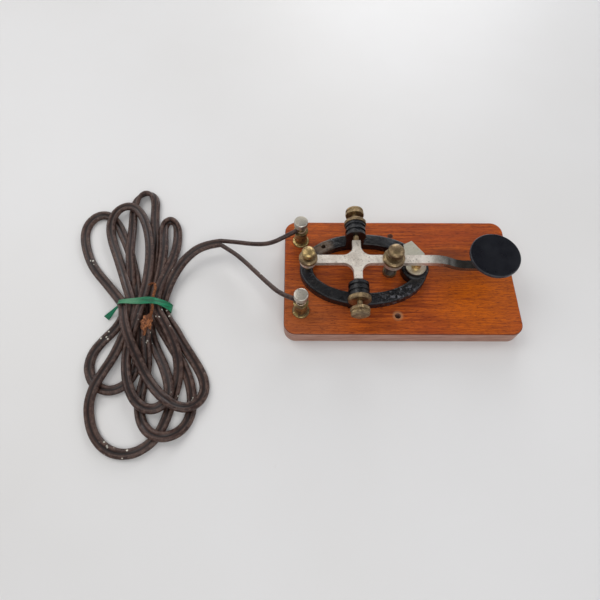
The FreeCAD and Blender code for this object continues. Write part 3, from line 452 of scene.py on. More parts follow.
def wood():
    """Satin-varnished mahogany: its grain along the board, and its pale layers on the sides, made
    paler still as a painted reflection of the white table on sides that stand in shade.
    """
    paint = Paint("varnished_wood", Coat_Weight=0.06, Coat_Roughness=0.25,
                  Specular_IOR_Level=0.22)
    broad = paint.noise(9, 3, 0.5, paint.stretched((1.0, 3.2, 3.2)), 0.6)
    grain = paint.noise(34, 6, 0.68, paint.stretched((1.0, 20, 20)), 0.3)
    fine = paint.noise(110, 5, 0.75, paint.stretched((1.2, 24, 24)))
    pores = paint.noise(260, 3, 0.6, paint.stretched((1.0, 11, 11)))
    base = paint.blend(paint.spread(grain, 0.34, 0.64), (0.22, 0.034, 0.004), (0.52, 0.105, 0.009))
    base = paint.blend(paint.spread(broad, 0.48, 0.74, 0, 0.8), base, (0.31, 0.048, 0.008))
    amber = paint.times(paint.near(AMBER_PATCH, 0.008, 0.044),
                        paint.spread(grain, 0.2, 0.6, 0.35, 0.85))
    base = paint.blend(amber, base, (0.55, 0.115, 0.001))
    dusty = paint.times(paint.near(DUSTY_CORNER, 0.006, 0.045),
                        paint.spread(fine, 0.3, 0.7, 0.15, 0.7))
    base = paint.blend(dusty, base, (0.42, 0.140, 0.048))
    streak = paint.spread(fine, 0.50, 0.62, 0, 0.75)
    base = paint.blend(streak, base, (0.17, 0.026, 0.004))
    dark = paint.spread(pores, 0.55, 0.64, 0, 0.85)
    base = paint.blend(dark, base, (0.10, 0.018, 0.005))
    worn = paint.times(paint.near(WORN_HOLE, 0.0022, 0.0042),
                       paint.spread(fine, 0.3, 0.6, 0.5, 0.9))
    base = paint.blend(worn, base, (0.42, 0.19, 0.085))
    stain = paint.times(paint.near(DARK_STAIN, 0.004, 0.020),
                        paint.spread(broad, 0.3, 0.6, 0.2, 0.6))
    base = paint.blend(stain, base, (0.10, 0.028, 0.012))
    up = paint.facing_up()
    upright = paint.spread(up, 0.35, 0.75, 0.9, 0.0)
    layers = paint.noise(240, 5, 0.7, paint.stretched((0.22, 0.6, 2.6)))
    # The sides' pale layers are partly real end grain and partly painted light: their colour is
    # lifted to stand for the table's reflection on sides in shade.
    edge = paint.blend(paint.spread(layers, 0.34, 0.64), (0.25, 0.120, 0.082), (0.45, 0.265, 0.205))
    corner = paint.times(paint.spread(up, 0.15, 0.5), paint.spread(up, 0.95, 0.6))
    base = paint.blend(upright, base, edge)
    paint.colour(paint.blend(corner, base, (0.10, 0.024, 0.010)))
    paint.rough(fine, 0.36, 0.55)
    paint.bump(grain, 0.00012, 0.5)
    paint.bump(pores, 0.00010, 0.6)
    return paint.material


def enamel():
    """Black enamel on a casting: glossy, pitted in places and worn at the open hole."""
    paint = Paint("black_enamel", Specular_IOR_Level=0.45)
    lumps = paint.noise(150, 5, 0.62)
    pits = paint.cells(420)
    cloud = paint.noise(38, 4, 0.6)
    base = paint.blend(paint.spread(cloud, 0.4, 0.7), (0.002, 0.002, 0.003), (0.006, 0.007, 0.011))
    worn = paint.times(paint.near(BARE_ENAMEL, 0.0035, 0.0095),
                       paint.spread(paint.noise(260, 5, 0.7), 0.30, 0.52, 0.25, 1.0))
    base = paint.blend(worn, base, (0.115, 0.078, 0.052))
    scars = paint.times(paint.near(SCARRED_ENAMEL, 0.006, 0.017),
                        paint.spread(paint.noise(430, 4, 0.7), 0.52, 0.62))
    base = paint.blend(scars, base, (0.10, 0.10, 0.115))
    chips = paint.spread(paint.noise(310, 3, 0.5), 0.69, 0.72, 0, 0.7)
    paint.colour(paint.blend(chips, base, (0.10, 0.07, 0.05)))
    paint.rough(cloud, 0.14, 0.34)
    paint.bump(lumps, 0.0008, 1.0)
    paint.bump(paint.noise(420, 4, 0.7), 0.0004, 1.0)
    paint.bump(pits, 0.00012, 0.6)
    paint.bump(scars, 0.0003, 0.7)
    return paint.material


def plated(name, bright, dull, speck, shine=(0.22, 0.42), crust=0.6):
    """Worn metal plating: bright metal, duller clouds and dark specks."""
    paint = Paint(name, Metallic=1.0)
    cloud = paint.noise(95, 5, 0.6, distortion=0.5)
    grit = paint.noise(760, 3, 0.6)
    brushed = paint.noise(260, 3, 0.6, paint.stretched((1.0, 9, 9)))
    base = paint.blend(paint.spread(cloud, 0.36, 0.64), bright, dull)
    paint.colour(paint.blend(paint.spread(grit, 0.60, 0.70, 0, crust), base, speck))
    paint.rough(cloud, *shine)
    paint.bump(grit, 0.00006, 0.5)
    paint.bump(brushed, 0.00003, 0.4)
    return paint.material


def lever_plate():
    """Nickel, matt and speckled on the cross; smooth on the front arm, which is coloured darker as
    a painted reflection of the dark surroundings it mirrors.
    """
    paint = Paint("nickel_lever", Metallic=0.85)
    cloud = paint.noise(120, 5, 0.65, distortion=0.4)
    grit = paint.noise(900, 4, 0.65)
    front = paint.spread(paint.part(paint.place, "X"), 0.012, 0.032)
    matt = paint.blend(paint.spread(cloud, 0.38, 0.62), (0.92, 0.85, 0.76), (0.70, 0.625, 0.54))
    matt = paint.blend(paint.spread(grit, 0.57, 0.68, 0, 0.75), matt, (0.26, 0.20, 0.15))
    # The front arm's dark colour is a painted reflection of the dark surroundings that the smooth
    # arm mirrors.
    smooth = paint.blend(paint.spread(cloud, 0.4, 0.66), (0.21, 0.20, 0.185), (0.13, 0.12, 0.11))
    smooth = paint.blend(paint.spread(grit, 0.64, 0.72, 0, 0.6), smooth, (0.12, 0.10, 0.08))
    paint.colour(paint.blend(front, matt, smooth))
    paint.rough(front, 0.46, 0.22, 0.0, 1.0)
    paint.bump(grit, 0.00007, 0.55)
    return paint.material


def brass(name, bright, dull, dirt, shine=(0.26, 0.5), grime=0.75):
    """Brass with brown tarnish that gathers in clouds and specks."""
    paint = Paint(name, Metallic=0.9)
    cloud = paint.noise(170, 5, 0.65, distortion=0.8)
    grit = paint.noise(900, 4, 0.6)
    base = paint.blend(paint.spread(cloud, 0.38, 0.62), bright, dull)
    paint.colour(paint.blend(paint.spread(grit, 0.55, 0.68, 0, grime), base, dirt))
    paint.rough(cloud, *shine)
    paint.bump(grit, 0.00008, 0.6)
    return paint.material


def knob_plastic():
    """Satin blue-black hard rubber with faint scuffs, and a painted highlight round the top's rim.
    """
    paint = Paint("black_knob", Specular_IOR_Level=0.22)
    cloud = paint.noise(60, 4, 0.6)
    scuffs = paint.noise(520, 4, 0.7, paint.stretched((1, 2.5, 1), (0, 0, 0.6)))
    dust = paint.cells(330)
    # A lighter ring at the top's edge: a painted highlight where light catches the rim's chamfer.
    rim = paint.times(paint.spread(paint.distance(KNOB_TOP), KNOB_RADIUS - 0.9 * MM, KNOB_RADIUS),
                      paint.spread(cloud, 0.3, 0.6, 0.5, 0.9))
    base = paint.blend(paint.spread(cloud, 0.35, 0.7), (0.0050, 0.0055, 0.0085),
                       (0.0085, 0.0095, 0.0135))
    base = paint.blend(paint.spread(scuffs, 0.66, 0.74, 0, 0.5), base, (0.035, 0.037, 0.043))
    base = paint.blend(paint.spread(dust, 0.06, 0.02, 0, 0.35), base, (0.10, 0.10, 0.11))
    paint.colour(paint.blend(rim, base, (0.055, 0.058, 0.066)))
    paint.rough(cloud, 0.24, 0.36)
    paint.bump(scuffs, 0.00003, 0.5)
    return paint.material


def rubber():
    """Old dark brown rubber with specks of white paint; its crowns are lighter, partly from wear
    and partly as a painted highlight, and its grooves are darkened as painted shade.
    """
    paint = Paint("cord_rubber", Specular_IOR_Level=0.36)
    cloud = paint.noise(55, 4, 0.6)
    skin = paint.noise(420, 4, 0.65)
    crown = paint.painted("crown")
    base = paint.blend(paint.spread(cloud, 0.35, 0.68), (0.025, 0.0105, 0.0080),
                       (0.047, 0.0215, 0.0160))
    # Lighter crowns: partly wear and partly a painted highlight.
    worn = paint.times(paint.spread(crown, 0.62, 0.98, 0.15, 1.0),
                       paint.spread(skin, 0.42, 0.64, 0.0, 0.75))
    base = paint.blend(worn, base, (0.115, 0.068, 0.052))
    # Painted shade in the grooves between the two ribs.
    base = paint.blend(paint.spread(crown, 0.0, 0.6, 0.85, 0.0), base, (0.006, 0.004, 0.004))
    drops = paint.times(paint.spread(paint.cells(290), 0.22, 0.12),
                        paint.spread(paint.noise(30, 2, 0.5), 0.58, 0.64))
    paint.colour(paint.blend(drops, base, (0.62, 0.60, 0.52)))
    paint.rough(skin, 0.30, 0.50)
    paint.bump(skin, 0.00010, 0.6)
    paint.bump(drops, 0.00015, 0.6)
    return paint.material


def tape(name, deep, pale):
    """Thin green garden tape, creased and ribbed, with lit and shaded greens along its creases as
    painted light and shade, and paler towards its left as a painted highlight.
    """
    paint = Paint(name, Specular_IOR_Level=0.22)
    cloud = paint.noise(130, 4, 0.6)
    creases = paint.noise(310, 3, 0.6, paint.stretched((0.5, 2.0, 0.5)), 0.8)
    ribs = paint.noise(900, 2, 0.5, paint.stretched((0.25, 2.5, 0.25)))
    # The pale towards the left is a painted highlight.
    dusty = paint.spread(paint.part(paint.place, "X"), -0.174, -0.164, 0.75, 0.1)
    dusty = paint.times(dusty, paint.spread(cloud, 0.3, 0.6, 0.55, 1.0))
    shaded, lit = (tuple(k * c for c in deep) for k in (0.65, 1.6))
    base = paint.blend(paint.spread(creases, 0.36, 0.64), shaded, lit)
    paint.colour(paint.blend(dusty, base, pale))
    paint.rough(cloud, 0.26, 0.5)
    paint.bump(creases, 0.0006, 0.8)
    paint.bump(ribs, 0.00012, 0.6)
    return paint.material


def copper():
    """Tarnished copper, crusted orange-brown where it is twisted up."""
    paint = Paint("bare_copper", Metallic=0.55)
    cloud = paint.noise(420, 5, 0.7, distortion=0.6)
    crust = paint.noise(1300, 4, 0.65)
    base = paint.blend(paint.spread(cloud, 0.36, 0.60), (0.40, 0.145, 0.050), (0.13, 0.045, 0.020))
    paint.colour(paint.blend(paint.spread(crust, 0.58, 0.70, 0, 0.75), base, (0.055, 0.020, 0.012)))
    paint.rough(cloud, 0.4, 0.75)
    paint.bump(crust, 0.00025, 0.8)
    return paint.material


def fibre():
    """Red-brown pressed fibre."""
    paint = Paint("fibre_board", Specular_IOR_Level=0.35)
    strands = paint.noise(700, 5, 0.7, paint.stretched((1, 3, 1)))
    base = paint.blend(paint.spread(strands, 0.35, 0.65), (0.075, 0.022, 0.014),
                       (0.14, 0.045, 0.028))
    paint.colour(base)
    paint.rough(strands, 0.5, 0.75)
    paint.bump(strands, 0.00005, 0.5)
    return paint.material


def cotton():
    """Dark waxed cotton over the wires below the board."""
    paint = Paint("waxed_cotton", Sheen_Weight=0.2, Sheen_Roughness=0.4)
    weave = paint.noise(1500, 2, 0.5, paint.stretched((1.4, 0.8, 1.0), (0, 0, 0.7)))
    base = paint.blend(paint.spread(weave, 0.4, 0.6), (0.018, 0.016, 0.014), (0.055, 0.048, 0.040))
    paint.colour(base)
    paint.rough(weave, 0.6, 0.85)
    paint.bump(weave, 0.00015, 0.8)
    return paint.material


def table_top():
    """A pale painted table with faint marks."""
    paint = Paint("pale_table", Roughness=0.5)
    cloud = paint.noise(3.2, 4, 0.55)
    marks = paint.noise(70, 4, 0.7, paint.stretched((1, 0.4, 1), (0, 0, 0.5)))
    base = paint.blend(paint.spread(cloud, 0.3, 0.7), (0.715, 0.705, 0.695), (0.75, 0.745, 0.745))
    paint.colour(paint.blend(paint.spread(marks, 0.70, 0.78, 0, 0.25), base, (0.55, 0.53, 0.51)))
    paint.bump(cloud, 0.0004, 0.2)
    return paint.material


# ---------------------------------------------------------------- cords
FAR_LEAD_ROUTE = [
    (-68, 25, 26.7), (-76, 20.4, 26), (-86, 17.6, 22), (-97.5, 20, 17.8), (-109.5, 24, 14.4),
    (-120.3, 26.3, 12.2),
]
NEAR_LEAD_ROUTE = [
    (-68.2, -26, 26.7), (-77.4, -22.2, 26), (-85.4, -13.2, 22.4), (-93.8, -2.8, 18.6),
    (-102.5, 7.6, 15.8), (-111.5, 16.6, 13.8), (-120.3, 23.1, 12.2),
]
PAIR_ROUTE = [
    (-120.4, 24.7, 12.2), (-132.5, 23.9, 10.6), (-143.2, 16.4, 8.0), (-149.8, 6.5, 6.2),
    (-153.6, -3.5, 5.3), (-156, -13, 4.6),
]
# The hank's loops in order, each one running through the tie to the next.
HANK_ROUTE = [
    (-157, -21, 3.2), (-152.5, -29, 3.2),
    # outermost loop below the tie, on top of the others
    (-147, -36, 3.4), (-142, -44, 3.2), (-136.5, -52, 2.6), (-130, -61, 1.8), (-125.5, -69, 1.6),
    (-124, -76.5, 1.7), (-126.5, -83.5, 2.8), (-132.5, -88, 5.0), (-139.5, -87.5, 7.2),
    (-145.5, -84, 8.8), (-151, -79.5, 7.0), (-157, -73, 5.2), (-162, -66, 5.1), (-166.5, -58, 5.8),
    (-171, -50, 7.4), (-175.5, -41, 8.4), (-179.5, -31, 8.2), (-182, -20, 6.0),
    # leftmost loop above the tie
    (-187.5, -13.5, 4.2), (-198, -1.5, 2.0), (-207, 8, 1.6), (-213.5, 18, 1.6), (-218.5, 30, 1.6),
    (-220.5, 40, 1.6), (-219, 48.5, 1.6), (-213.5, 54.8, 1.6), (-205.5, 55, 1.6),
    (-198.5, 48, 1.6), (-191, 34, 1.6), (-186, 24, 1.6), (-182.5, 14, 1.6), (-179, 4, 1.7),
    (-176, -7, 1.9), (-173.5, -19, 2.1),
    # small low loop below the tie, at the left
    (-170.5, -32, 1.8), (-168, -46, 1.6), (-168, -60, 1.6), (-171, -70, 1.6), (-177, -75.5, 1.6),
    (-184.5, -77, 1.6), (-191, -74, 1.6), (-195.5, -69, 1.6), (-198.5, -61, 1.6),
    (-197.5, -52, 1.6), (-192, -43, 1.6), (-184.5, -34, 1.8), (-180.5, -21, 2.1),
    # tallest loop above the tie, standing on its edge at the top
    (-180, -6, 2.0), (-182, 8, 4.2), (-184.5, 21, 5.2), (-185.3, 32, 4.4), (-186.8, 44, 2.6),
    (-188.2, 56, 2.2), (-188.2, 64, 3.0), (-186.2, 71, 3.4), (-181.5, 74.8, 3.4),
    (-176, 73.4, 3.4), (-173, 67, 3.0), (-172.3, 57, 2.4), (-171.2, 46, 2.2), (-168.3, 32, 2.2),
    (-167.6, 16, 2.2), (-167, 0, 2.2), (-166.5, -20, 2.1),
    # middle loop below the tie
    (-163, -38, 2.3), (-157.5, -50, 2.6), (-151.5, -60, 3.4), (-147, -70, 4.4), (-144.8, -78, 5.2),
    (-146, -84, 5.3), (-151, -88.5, 5.4), (-157.5, -88.8, 5.3), (-164, -85, 5.1),
    (-169.5, -77, 5.2), (-173.2, -67, 4.6), (-175.5, -55, 3.4), (-174.5, -43, 4.6),
    (-172, -32, 6.6), (-169.5, -20, 8.6),
    # second loop above the tie, over the first
    (-168.6, -7, 7.4), (-169, 6, 6.4), (-169.8, 18, 5.8), (-172, 31, 5.4), (-176, 44, 5.0),
    (-180.5, 53, 5.3), (-185.5, 59, 5.6), (-192, 61.3, 5.4), (-198.5, 58, 5.2), (-201.8, 50, 5.0),
    (-202, 41, 4.2), (-198.5, 30, 3.0), (-193.5, 19, 2.6), (-188.5, 8, 3.2), (-183.5, -3, 4.9),
    (-178.5, -14, 5.8), (-175.5, -22, 5.6),
    # largest loop below the tie
    (-177, -32, 4.9), (-180, -44, 3.8), (-184, -56, 3.0), (-188, -66, 4.4), (-191.5, -75, 5.0),
    (-193.5, -85, 3.0), (-191.5, -95, 1.7), (-187, -104, 1.6), (-180, -111, 1.6),
    (-171, -114.5, 1.6), (-162, -113.8, 1.6), (-154.5, -109.5, 1.6), (-149, -103, 1.6),
    (-145.8, -94, 1.6), (-144, -85, 1.7), (-141.8, -75, 2.0), (-141, -65, 3.4), (-142.5, -55, 5.2),
    (-146.5, -45, 6.4), (-152, -35, 7.6), (-158, -26, 8.6), (-161, -18, 8.7),
    # narrow loop above the tie, its two legs side by side
    (-159.5, -6, 7.2), (-156.5, 5, 5.6), (-154, 17, 4.0), (-152.8, 29, 2.6), (-153.6, 40, 2.2),
    (-155.8, 47.5, 2.3), (-160, 50.3, 2.8), (-163.8, 46.5, 3.6), (-163.2, 37, 4.4),
    (-161.2, 26, 4.8), (-160.9, 12, 5.0), (-161.6, -4, 5.2), (-163, -20, 5.4),
    # last loop below the tie, which brings the cord's end up to the top of the hank
    (-157.5, -33, 4.0), (-150, -44, 2.4), (-144, -53, 1.8), (-138, -62, 1.6), (-133.5, -72, 1.6),
    (-131, -83, 1.6), (-131.5, -93, 1.6), (-135.5, -100.5, 2.4), (-142.5, -105, 4.6),
    (-150.5, -104.5, 4.9), (-157.5, -100, 3.0), (-162, -92, 1.7), (-163.5, -82, 1.6),
    (-162.5, -72, 1.6), (-161.5, -62, 2.0), (-162.5, -52, 4.6), (-163.5, -44, 8.0),
    (-163.3, -37, 10.2),
]
STRAND_ROUTE = [
    (-163.4, -44, 12.2), (-162.2, -34.5, 12.2), (-160.4, -25.5, 12.2), (-161.6, -15.5, 12.2),
    (-160.2, -9.5, 12.0), (-162.8, -5.5, 11.6), (-165.2, -8.0, 11.2),
]
TIE_ROUTE = [
    (-186.2, -18.6, 3.0), (-186.0, -18.5, 6.8), (-182.4, -18.6, 8.8), (-176, -19.0, 9.9),
    (-170, -19.5, 11.2), (-165, -19.8, 13.0), (-160.5, -20.2, 13.6), (-156.5, -20.6, 11.8),
    (-152.6, -21.2, 8.6), (-150.2, -21.8, 5.0), (-150.8, -21.6, 1.0), (-157, -21.0, 0.5),
    (-168, -20.0, 0.5), (-180, -19.0, 0.5), (-185.4, -18.6, 0.7),
]
TAG_ROUTE = [
    (-184.6, -19.4, 5.2), (-187.2, -21.6, 4.4), (-189.6, -23.6, 2.8), (-191.4, -25.4, 2.0),
    (-193.4, -27.6, 1.4),
]
TAPE_SECTION = [
    (-1.9, 0.10), (-1.2, 0.30), (-0.3, 0.16), (0.5, 0.34), (1.3, 0.22), (1.9, 0.10),
    (1.9, -0.14), (-1.9, -0.14),
]
LEAD_RADIUS = 1.5 * MM
LEAD_CROWN = 0.8                        # a round lead has no groove to shade, and is evenly worn and evenly given the crown's painted highlight
RIB_RADIUS = 1.6 * MM                   # each of the flat cord's two conductors
ON_EDGE = [(-159.5, 49), (-181, 74)]    # tops of the two narrow loops, where it stands on edge
FAR_LEAD_LENGTH = 0.0565
NEAR_LEAD_LENGTH = 0.0735


def two_ribs():
    """The flat cord's section, two round ribs with a groove on each side, and how far each
    of its points is out of the groove."""
    reach, groove = math.radians(150), math.radians(50)
    steps = 11
    angles = [reach * (2 * i / (steps - 1) - 1) for i in range(steps)]
    right = [(RIB_RADIUS * (1 + math.cos(a)), RIB_RADIUS * math.sin(a)) for a in angles]
    left = [(-x, -y) for x, y in right]
    crown = [min(1.0, (reach - abs(a)) / groove) for a in angles]
    return right + left, crown * 2


def travelled(points):
    """How far along the line each point is."""
    total, far = 0.0, [0.0]
    for a, b in zip(points, points[1:]):
        total += (b - a).length
        far.append(total)
    return far


def make_leads(material):
    """The two single leads from the posts to the place where the cord splits."""
    sides = 20
    for name, route, length in (("far", FAR_LEAD_ROUTE, FAR_LEAD_LENGTH),
                                ("near", NEAR_LEAD_ROUTE, NEAR_LEAD_LENGTH)):
        points = spline_points(route, smoothness=14)
        piece = sweep("lead_tube_" + name, points, ring_profile(LEAD_RADIUS, sides),
                      crown=[LEAD_CROWN] * sides)
        put(piece, "base", material, ["lead_" + name])


def make_pair(material, ends):
    """The flat cord, from the split through every loop of the hank. It rolls a little from
    side to side, and stands on its edge at the narrow loops' tops."""
    points = spline_points(PAIR_ROUTE + HANK_ROUTE)
    settle, standing, stretch = 0.04, 1.15, 9 * MM
    tilts = []
    for spot, far in zip(points, travelled(points)):
        settled = min(1.0, far / settle)
        tilt = settled * (0.15 * math.sin(far * 31 + 1) + 0.10 * math.sin(far * 74))
        for x, y in ON_EDGE:
            apart = math.hypot(spot.x - x * MM, spot.y - y * MM)
            tilt += standing * math.exp(-(apart / stretch) ** 2)
        tilts.append(tilt)
        spot.z = max(spot.z, RIB_RADIUS * (1.03 + abs(math.sin(tilt))))
    section, crown = two_ribs()
    piece = sweep("flat_cord", points, section, tilts=tilts, crown=crown)
    put(piece, "base", material, ["pair_cord", "cord_hank"])


def make_bare_ends(material):
    """Twisted bare strands under the tie, and the crusted lump that they end in."""
    points = spline_points(STRAND_ROUTE, smoothness=20)
    strands, turns, twist, wire = 4, 9, 0.62 * MM, 0.34 * MM
    pieces = []
    for k in range(strands):
        wound = []
        for i, spot in enumerate(points):
            angle = math.tau * (turns * i / (len(points) - 1) + k / strands)
            loose = twist * (1 + 0.35 * math.sin(i * 0.31 + k * 1.7))
            wound.append(spot + Vector((math.cos(angle) * loose, 0, math.sin(angle) * loose)))
        pieces.append(sweep("copper_strand_%d" % k, wound, ring_profile(wire, 8)))
    for k, piece in enumerate(pieces):
        put(piece, "base", material, ["bare_ends"] if k == 0 else [])
    rings, sectors = 18, 28
    centre, half = Vector((-0.1624, -0.0352, 0.0116)), (3.5, 4.3, 1.2)
    spots, faces = [], []
    for i in range(rings + 1):
        tall = math.pi * i / rings
        for j in range(sectors):
            turn = math.tau * j / sectors
            way = Vector((math.sin(tall) * math.cos(turn), math.sin(tall) * math.sin(turn),
                          math.cos(tall)))
            bulge = 1 + 0.75 * noise.noise(way * 1.7) + 0.3 * noise.noise(way * 5)
            reach = Vector([a * b for a, b in zip(way, half)])
            spots.append(centre + reach * (bulge * MM))
    for i in range(rings):
        for j in range(sectors):
            k = (j + 1) % sectors
            faces.append((i * sectors + j, i * sectors + k, (i + 1) * sectors + k,
                          (i + 1) * sectors + j))
    lump = mesh_piece("copper_lump", spots, faces, 80)
    put(lump, "base", material)
    return pieces + [lump]


def make_tie(material, end_material):
    """The green tape round the hank, and its loose end."""
    points = spline_points(TIE_ROUTE, closed=True, smoothness=10)
    section = [(across * MM, upwards * MM) for across, upwards in TAPE_SECTION]
    count = len(points)
    widths = [1.08 + 0.26 * math.sin(math.tau * i / count - 1.3) for i in range(count)]
    lying = math.pi / 2                 # the tape's width lies along the strands
    tilts = [lying + 0.28 * math.sin(math.tau * 3 * i / count) * min(1, spot.z / (6 * MM))
             for i, spot in enumerate(points)]
    band = sweep("tape_tie", points, section, ALONG, tilts, widths, closed=True)
    put(band, "base", material, ["cord_tie"])
    points = spline_points(TAG_ROUTE, smoothness=10)
    count = len(points)
    widths = [0.62 + 0.5 * (i / count) ** 2 + 0.08 * math.sin(i * 2.1) for i in range(count)]
    tilts = [-0.5 + 1.1 * i / count for i in range(count)]
    tag = sweep("tape_end", points, section, UP, tilts, widths)
    put(tag, "base", end_material)


# ---------------------------------------------------------------- turned brass and nickel
NUT_PLAY = 0.05 * MM                    # between a nut's bore and its screw
THREAD_DEPTH = 0.22 * MM
FINE_PITCH = 0.7 * MM
PIVOT_PITCH = 0.8 * MM


def make_adjusters(dull_brass, golden):
    """The rear gap screw, the front tension screw and their lock nuts, all knurled."""
    for name, shank, head, material in (("gap", 1.9 * MM, 4.4 * MM, golden),
                                        ("tension", 2.2 * MM, 5.0 * MM, dull_brass)):
        low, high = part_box(name + "_screw")
        radius = (high.x - low.x) / 2
        spot = middle(name + "_screw")
        under = high.z - head
        dome = radius / 2.4
        crown = [(radius * math.cos(a), high.z - dome + dome * math.sin(a))
                 for a in (math.radians(d) for d in range(8, 88, 8))]
        outline = [(0, low.z), (shank - 0.6 * MM, low.z), (shank, low.z + 0.8 * MM),
                   (shank, under), (radius - 0.4 * MM, under), (radius, under + 0.4 * MM),
                   (radius, high.z - dome), *crown, (0, high.z)]
        piece = lathe(name + "_thumb_screw", (spot.x, KEY_LINE, 0), UP, outline,
                      [(low.z + 0.8 * MM, under - 0.1 * MM, thread(FINE_PITCH, THREAD_DEPTH)),
                       (under + 0.3 * MM, high.z - dome, knurl(34, 0.26 * MM))])
        put(piece, name + "_adjuster", material, [name + "_screw"])
        low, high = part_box(name + "_locknut")
        wide = (high.x - low.x) / 2
        thick = high.z - low.z
        bore = shank + NUT_PLAY
        outline = [(bore, low.z), (wide, low.z), (wide, low.z + thick * 0.6),
                   (wide - 0.9 * MM, low.z + thick * 0.8), (wide - 1.3 * MM, high.z),
                   (bore, high.z)]
        piece = lathe(name + "_knurled_nut", (spot.x, KEY_LINE, 0), UP, outline,
                      [(low.z + 0.2 * MM, low.z + thick * 0.62, knurl(44, 0.24 * MM))],
                      closed=True)
        put(piece, name + "_lock", dull_brass, [name + "_locknut"])


def turned_span(node, side):
    """A pivot node's radius, and where it starts and ends outwards from the key line."""
    low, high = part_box(node)
    ends = (low.y - KEY_LINE) * side, (high.y - KEY_LINE) * side
    return (high.x - low.x) / 2, min(ends), max(ends)


def make_pivots(dull_brass):
    """The two pivot screws with grooved thumb heads, and their lock nuts."""
    axis_x, axis_z = middle("pivot_screw_near").x, middle("pivot_screw_near").z
    shank, length = 2.0 * MM, 4.6 * MM
    slope = math.tan(math.radians(60))
    blunt = 0.275 * MM                  # the point's flat, in radius
    for name, side in SIDES.items():
        head, inner, outer = turned_span("pivot_screw_" + name, side)
        start = outer - length
        groove = start + length * 0.45
        outline = [(0, inner), (blunt, inner), (shank, inner + (shank - blunt) * slope),
                   (shank, start), (head - 0.4 * MM, start), (head, start + 0.4 * MM),
                   (head, groove), (head - 0.8 * MM, groove + 0.3 * MM),
                   (head - 0.8 * MM, groove + 0.8 * MM), (head - 0.2 * MM, groove + 1.1 * MM),
                   (head - 0.2 * MM, outer - 0.4 * MM), (head - 0.7 * MM, outer), (0, outer)]
        piece = lathe("pivot_thumb_screw_" + name, (axis_x, KEY_LINE, axis_z), (0, side, 0),
                      outline,
                      [(inner + 3.2 * MM, start - 0.2 * MM, thread(PIVOT_PITCH, THREAD_DEPTH)),
                       (start + 0.3 * MM, outer - 0.3 * MM, knurl(38, 0.30 * MM))])
        put(piece, "pivot_" + name, dull_brass, ["pivot_screw_" + name])
        wide, near, far = turned_span("pivot_locknut_" + name, side)
        bore = shank + NUT_PLAY
        outline = [(bore, near), (wide, near), (wide, near + (far - near) * 0.75),
                   (wide - 0.7 * MM, far), (bore, far)]
        piece = lathe("pivot_knurled_nut_" + name, (axis_x, KEY_LINE, axis_z), (0, side, 0),
                      outline, [(near + 0.2 * MM, far - 0.3 * MM, knurl(48, 0.26 * MM))],
                      closed=True)
        put(piece, "pivot_lock_" + name, dull_brass, ["pivot_locknut_" + name])


def make_posts(post_brass, cap_nickel, tinned):
    """The binding posts, their screw caps, and the bare wire eye under each cap."""
    shelf = BOARD_TOP + 13.5 * MM       # where the wire's eye lies
    flange = BOARD_TOP + 1.4 * MM
    stud, foot, waist, collar, neck = 1.75 * MM, 5.6 * MM, 4.2 * MM, 4.8 * MM, 2.3 * MM
    inside, skirt, crown = 2.35 * MM, 3.3 * MM, 4.5 * MM
    eye_radius, eye_turns, steps = 2.95 * MM, 1.15, 51
    for name in SIDES:
        spot = middle("binding_post_" + name)
        low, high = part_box("binding_post_" + name)
        outline = [(0, low.z), (stud, low.z), (stud, BOARD_TOP), (foot, BOARD_TOP),
                   (foot, flange - 0.5 * MM), (foot - 0.5 * MM, flange), (waist, flange),
                   (waist, shelf - 1.8 * MM), (collar, shelf - 1.3 * MM), (collar, shelf),
                   (neck, shelf), (neck, high.z), (0, high.z)]
        post = lathe("knurled_post_" + name, (spot.x, spot.y, 0), UP, outline,
                     [(flange + 0.4 * MM, shelf - 2.0 * MM, diamonds(26, 2.6 * MM, 0.28 * MM)),
                      (shelf + 0.2 * MM, high.z, thread(FINE_PITCH, 0.2 * MM))])
        put(post, "base", post_brass, ["binding_post_" + name])
        low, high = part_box("post_cap_" + name)
        hollow = high.z - 1.55 * MM
        grip = low.z + 2.8 * MM
        outline = [(0, hollow), (inside, hollow), (inside, low.z), (skirt, low.z),
                   (skirt, grip), (crown, grip), (crown, high.z - 0.5 * MM),
                   (crown - 0.5 * MM, high.z), (0, high.z)]
        cap = lathe("screw_cap_" + name, (spot.x, spot.y, 0), UP, outline,
                    [(grip + 0.2 * MM, high.z - 0.4 * MM, knurl(40, 0.12 * MM))],
                    ease=0.18 * MM)
        put(cap, "cap_" + name, cap_nickel, ["post_cap_" + name])
        eye = []
        for i in range(steps + 1):
            angle = math.tau * eye_turns * i / steps + 2.7
            eye.append(Vector((spot.x + eye_radius * math.cos(angle),
                               spot.y + eye_radius * math.sin(angle),
                               shelf + 0.55 * MM + 0.95 * MM * i / steps)))
        wire = sweep("wire_eye_" + name, eye, ring_profile(0.42 * MM, 10))
        put(wire, "base", tinned)


def make_spring(material):
    """The tension spring: an open helix between its seat and its cap."""
    low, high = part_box("tension_spring")
    spot = middle("tension_spring")
    wire, turns, steps = 0.45 * MM, 5, 44
    crowding = 0.045                    # draws the end turns together
    coil = (high.x - low.x) / 2 - wire
    bottom, top = low.z + wire, high.z - wire
    points = []
    for i in range(turns * steps + 1):
        angle = math.tau * i / steps
        share = i / (turns * steps)
        climbed = share - crowding * math.sin(math.tau * share)
        points.append(Vector((spot.x + coil * math.cos(angle), spot.y + coil * math.sin(angle),
                              bottom + (top - bottom) * climbed)))
    piece = sweep("wound_spring", points, ring_profile(wire, 10))
    piece.data.materials.append(material)
    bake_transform(piece)
    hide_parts("tension_spring")


# ---------------------------------------------------------------- carried parts and table
def carry(material, *nodes):
    """Gives carried CAD nodes their detailed material."""
    for name in nodes:
        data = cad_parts[name].data
        data.materials.clear()
        data.materials.append(material)


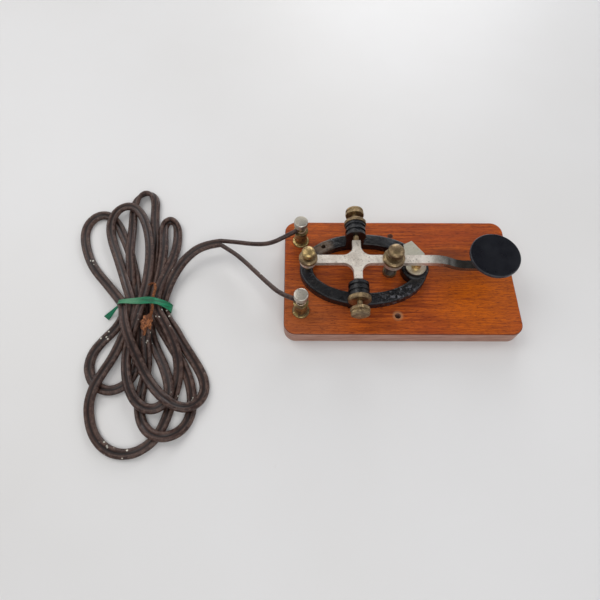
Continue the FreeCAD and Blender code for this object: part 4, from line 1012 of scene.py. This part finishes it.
def make_floor(material):
    """The table, drawn as one large sheet just under the board."""
    half, level = 3.0, BOARD_LOW.z - 0.05 * MM
    mesh = bpy.data.meshes.new("table")
    mesh.from_pydata([(-half, -half, level), (half, -half, level), (half, half, level),
                      (-half, half, level)], [], [(0, 1, 2, 3)])
    mesh.materials.append(material)
    link(bpy.data.objects.new("table", mesh))


# ---------------------------------------------------------------- the scene
make_camera()
make_lights()
bpy.context.scene.view_settings.view_transform = "Standard"

cord_rubber = rubber()
bare_copper = copper()
make_leads(cord_rubber)
make_pair(cord_rubber, make_bare_ends(bare_copper))
make_tie(tape("green_tape", (0.0, 0.125, 0.055), (0.11, 0.28, 0.16)),
         tape("green_tape_end", (0.0, 0.095, 0.045), (0.01, 0.16, 0.08)))

dull_brass = brass("aged_brass", (0.36, 0.26, 0.14), (0.16, 0.110, 0.062), (0.060, 0.038, 0.022))
golden = brass("golden_brass", (0.55, 0.40, 0.17), (0.30, 0.21, 0.10), (0.10, 0.065, 0.03))
post_brass = brass("post_brass", (0.50, 0.37, 0.15), (0.16, 0.115, 0.06), (0.05, 0.034, 0.02),
                   (0.2, 0.45))
contact_brass = brass("contact_brass", (0.78, 0.60, 0.30), (0.60, 0.45, 0.22),
                      (0.30, 0.20, 0.10), (0.18, 0.36), 0.5)
cap_nickel = plated("cap_nickel", (0.60, 0.56, 0.49), (0.42, 0.385, 0.32), (0.20, 0.17, 0.13),
                    (0.30, 0.48))
tinned = plated("tinned_wire", (0.62, 0.50, 0.40), (0.45, 0.30, 0.20), (0.2, 0.12, 0.08))
steel = plated("steel", (0.50, 0.49, 0.47), (0.34, 0.33, 0.31), (0.12, 0.10, 0.08))
strap_nickel = plated("strap_nickel", (0.72, 0.69, 0.58), (0.56, 0.53, 0.43),
                      (0.26, 0.22, 0.16), (0.34, 0.52), 0.75)
spring_steel = plated("spring_steel", (0.20, 0.175, 0.15), (0.12, 0.10, 0.085),
                      (0.05, 0.04, 0.03), (0.3, 0.5))

make_adjusters(dull_brass, golden)
make_pivots(dull_brass)
make_posts(post_brass, cap_nickel, tinned)
make_spring(spring_steel)

carry(wood(), "base_board")
carry(enamel(), "frame_ring")
carry(lever_plate(), "lever")
carry(strap_nickel, "contact_strap")
carry(knob_plastic(), "knob")
carry(contact_brass, "upper_contact", "lower_contact")
carry(dull_brass, "spring_seat", "spring_cap")
carry(steel, "frame_screws", "frame_washers", "knob_screw", "contact_nut", "post_nuts")
carry(fibre(), "contact_insulator")
carry(cotton(), "hookup_wire_near", "hookup_wire_far")

make_floor(table_top())
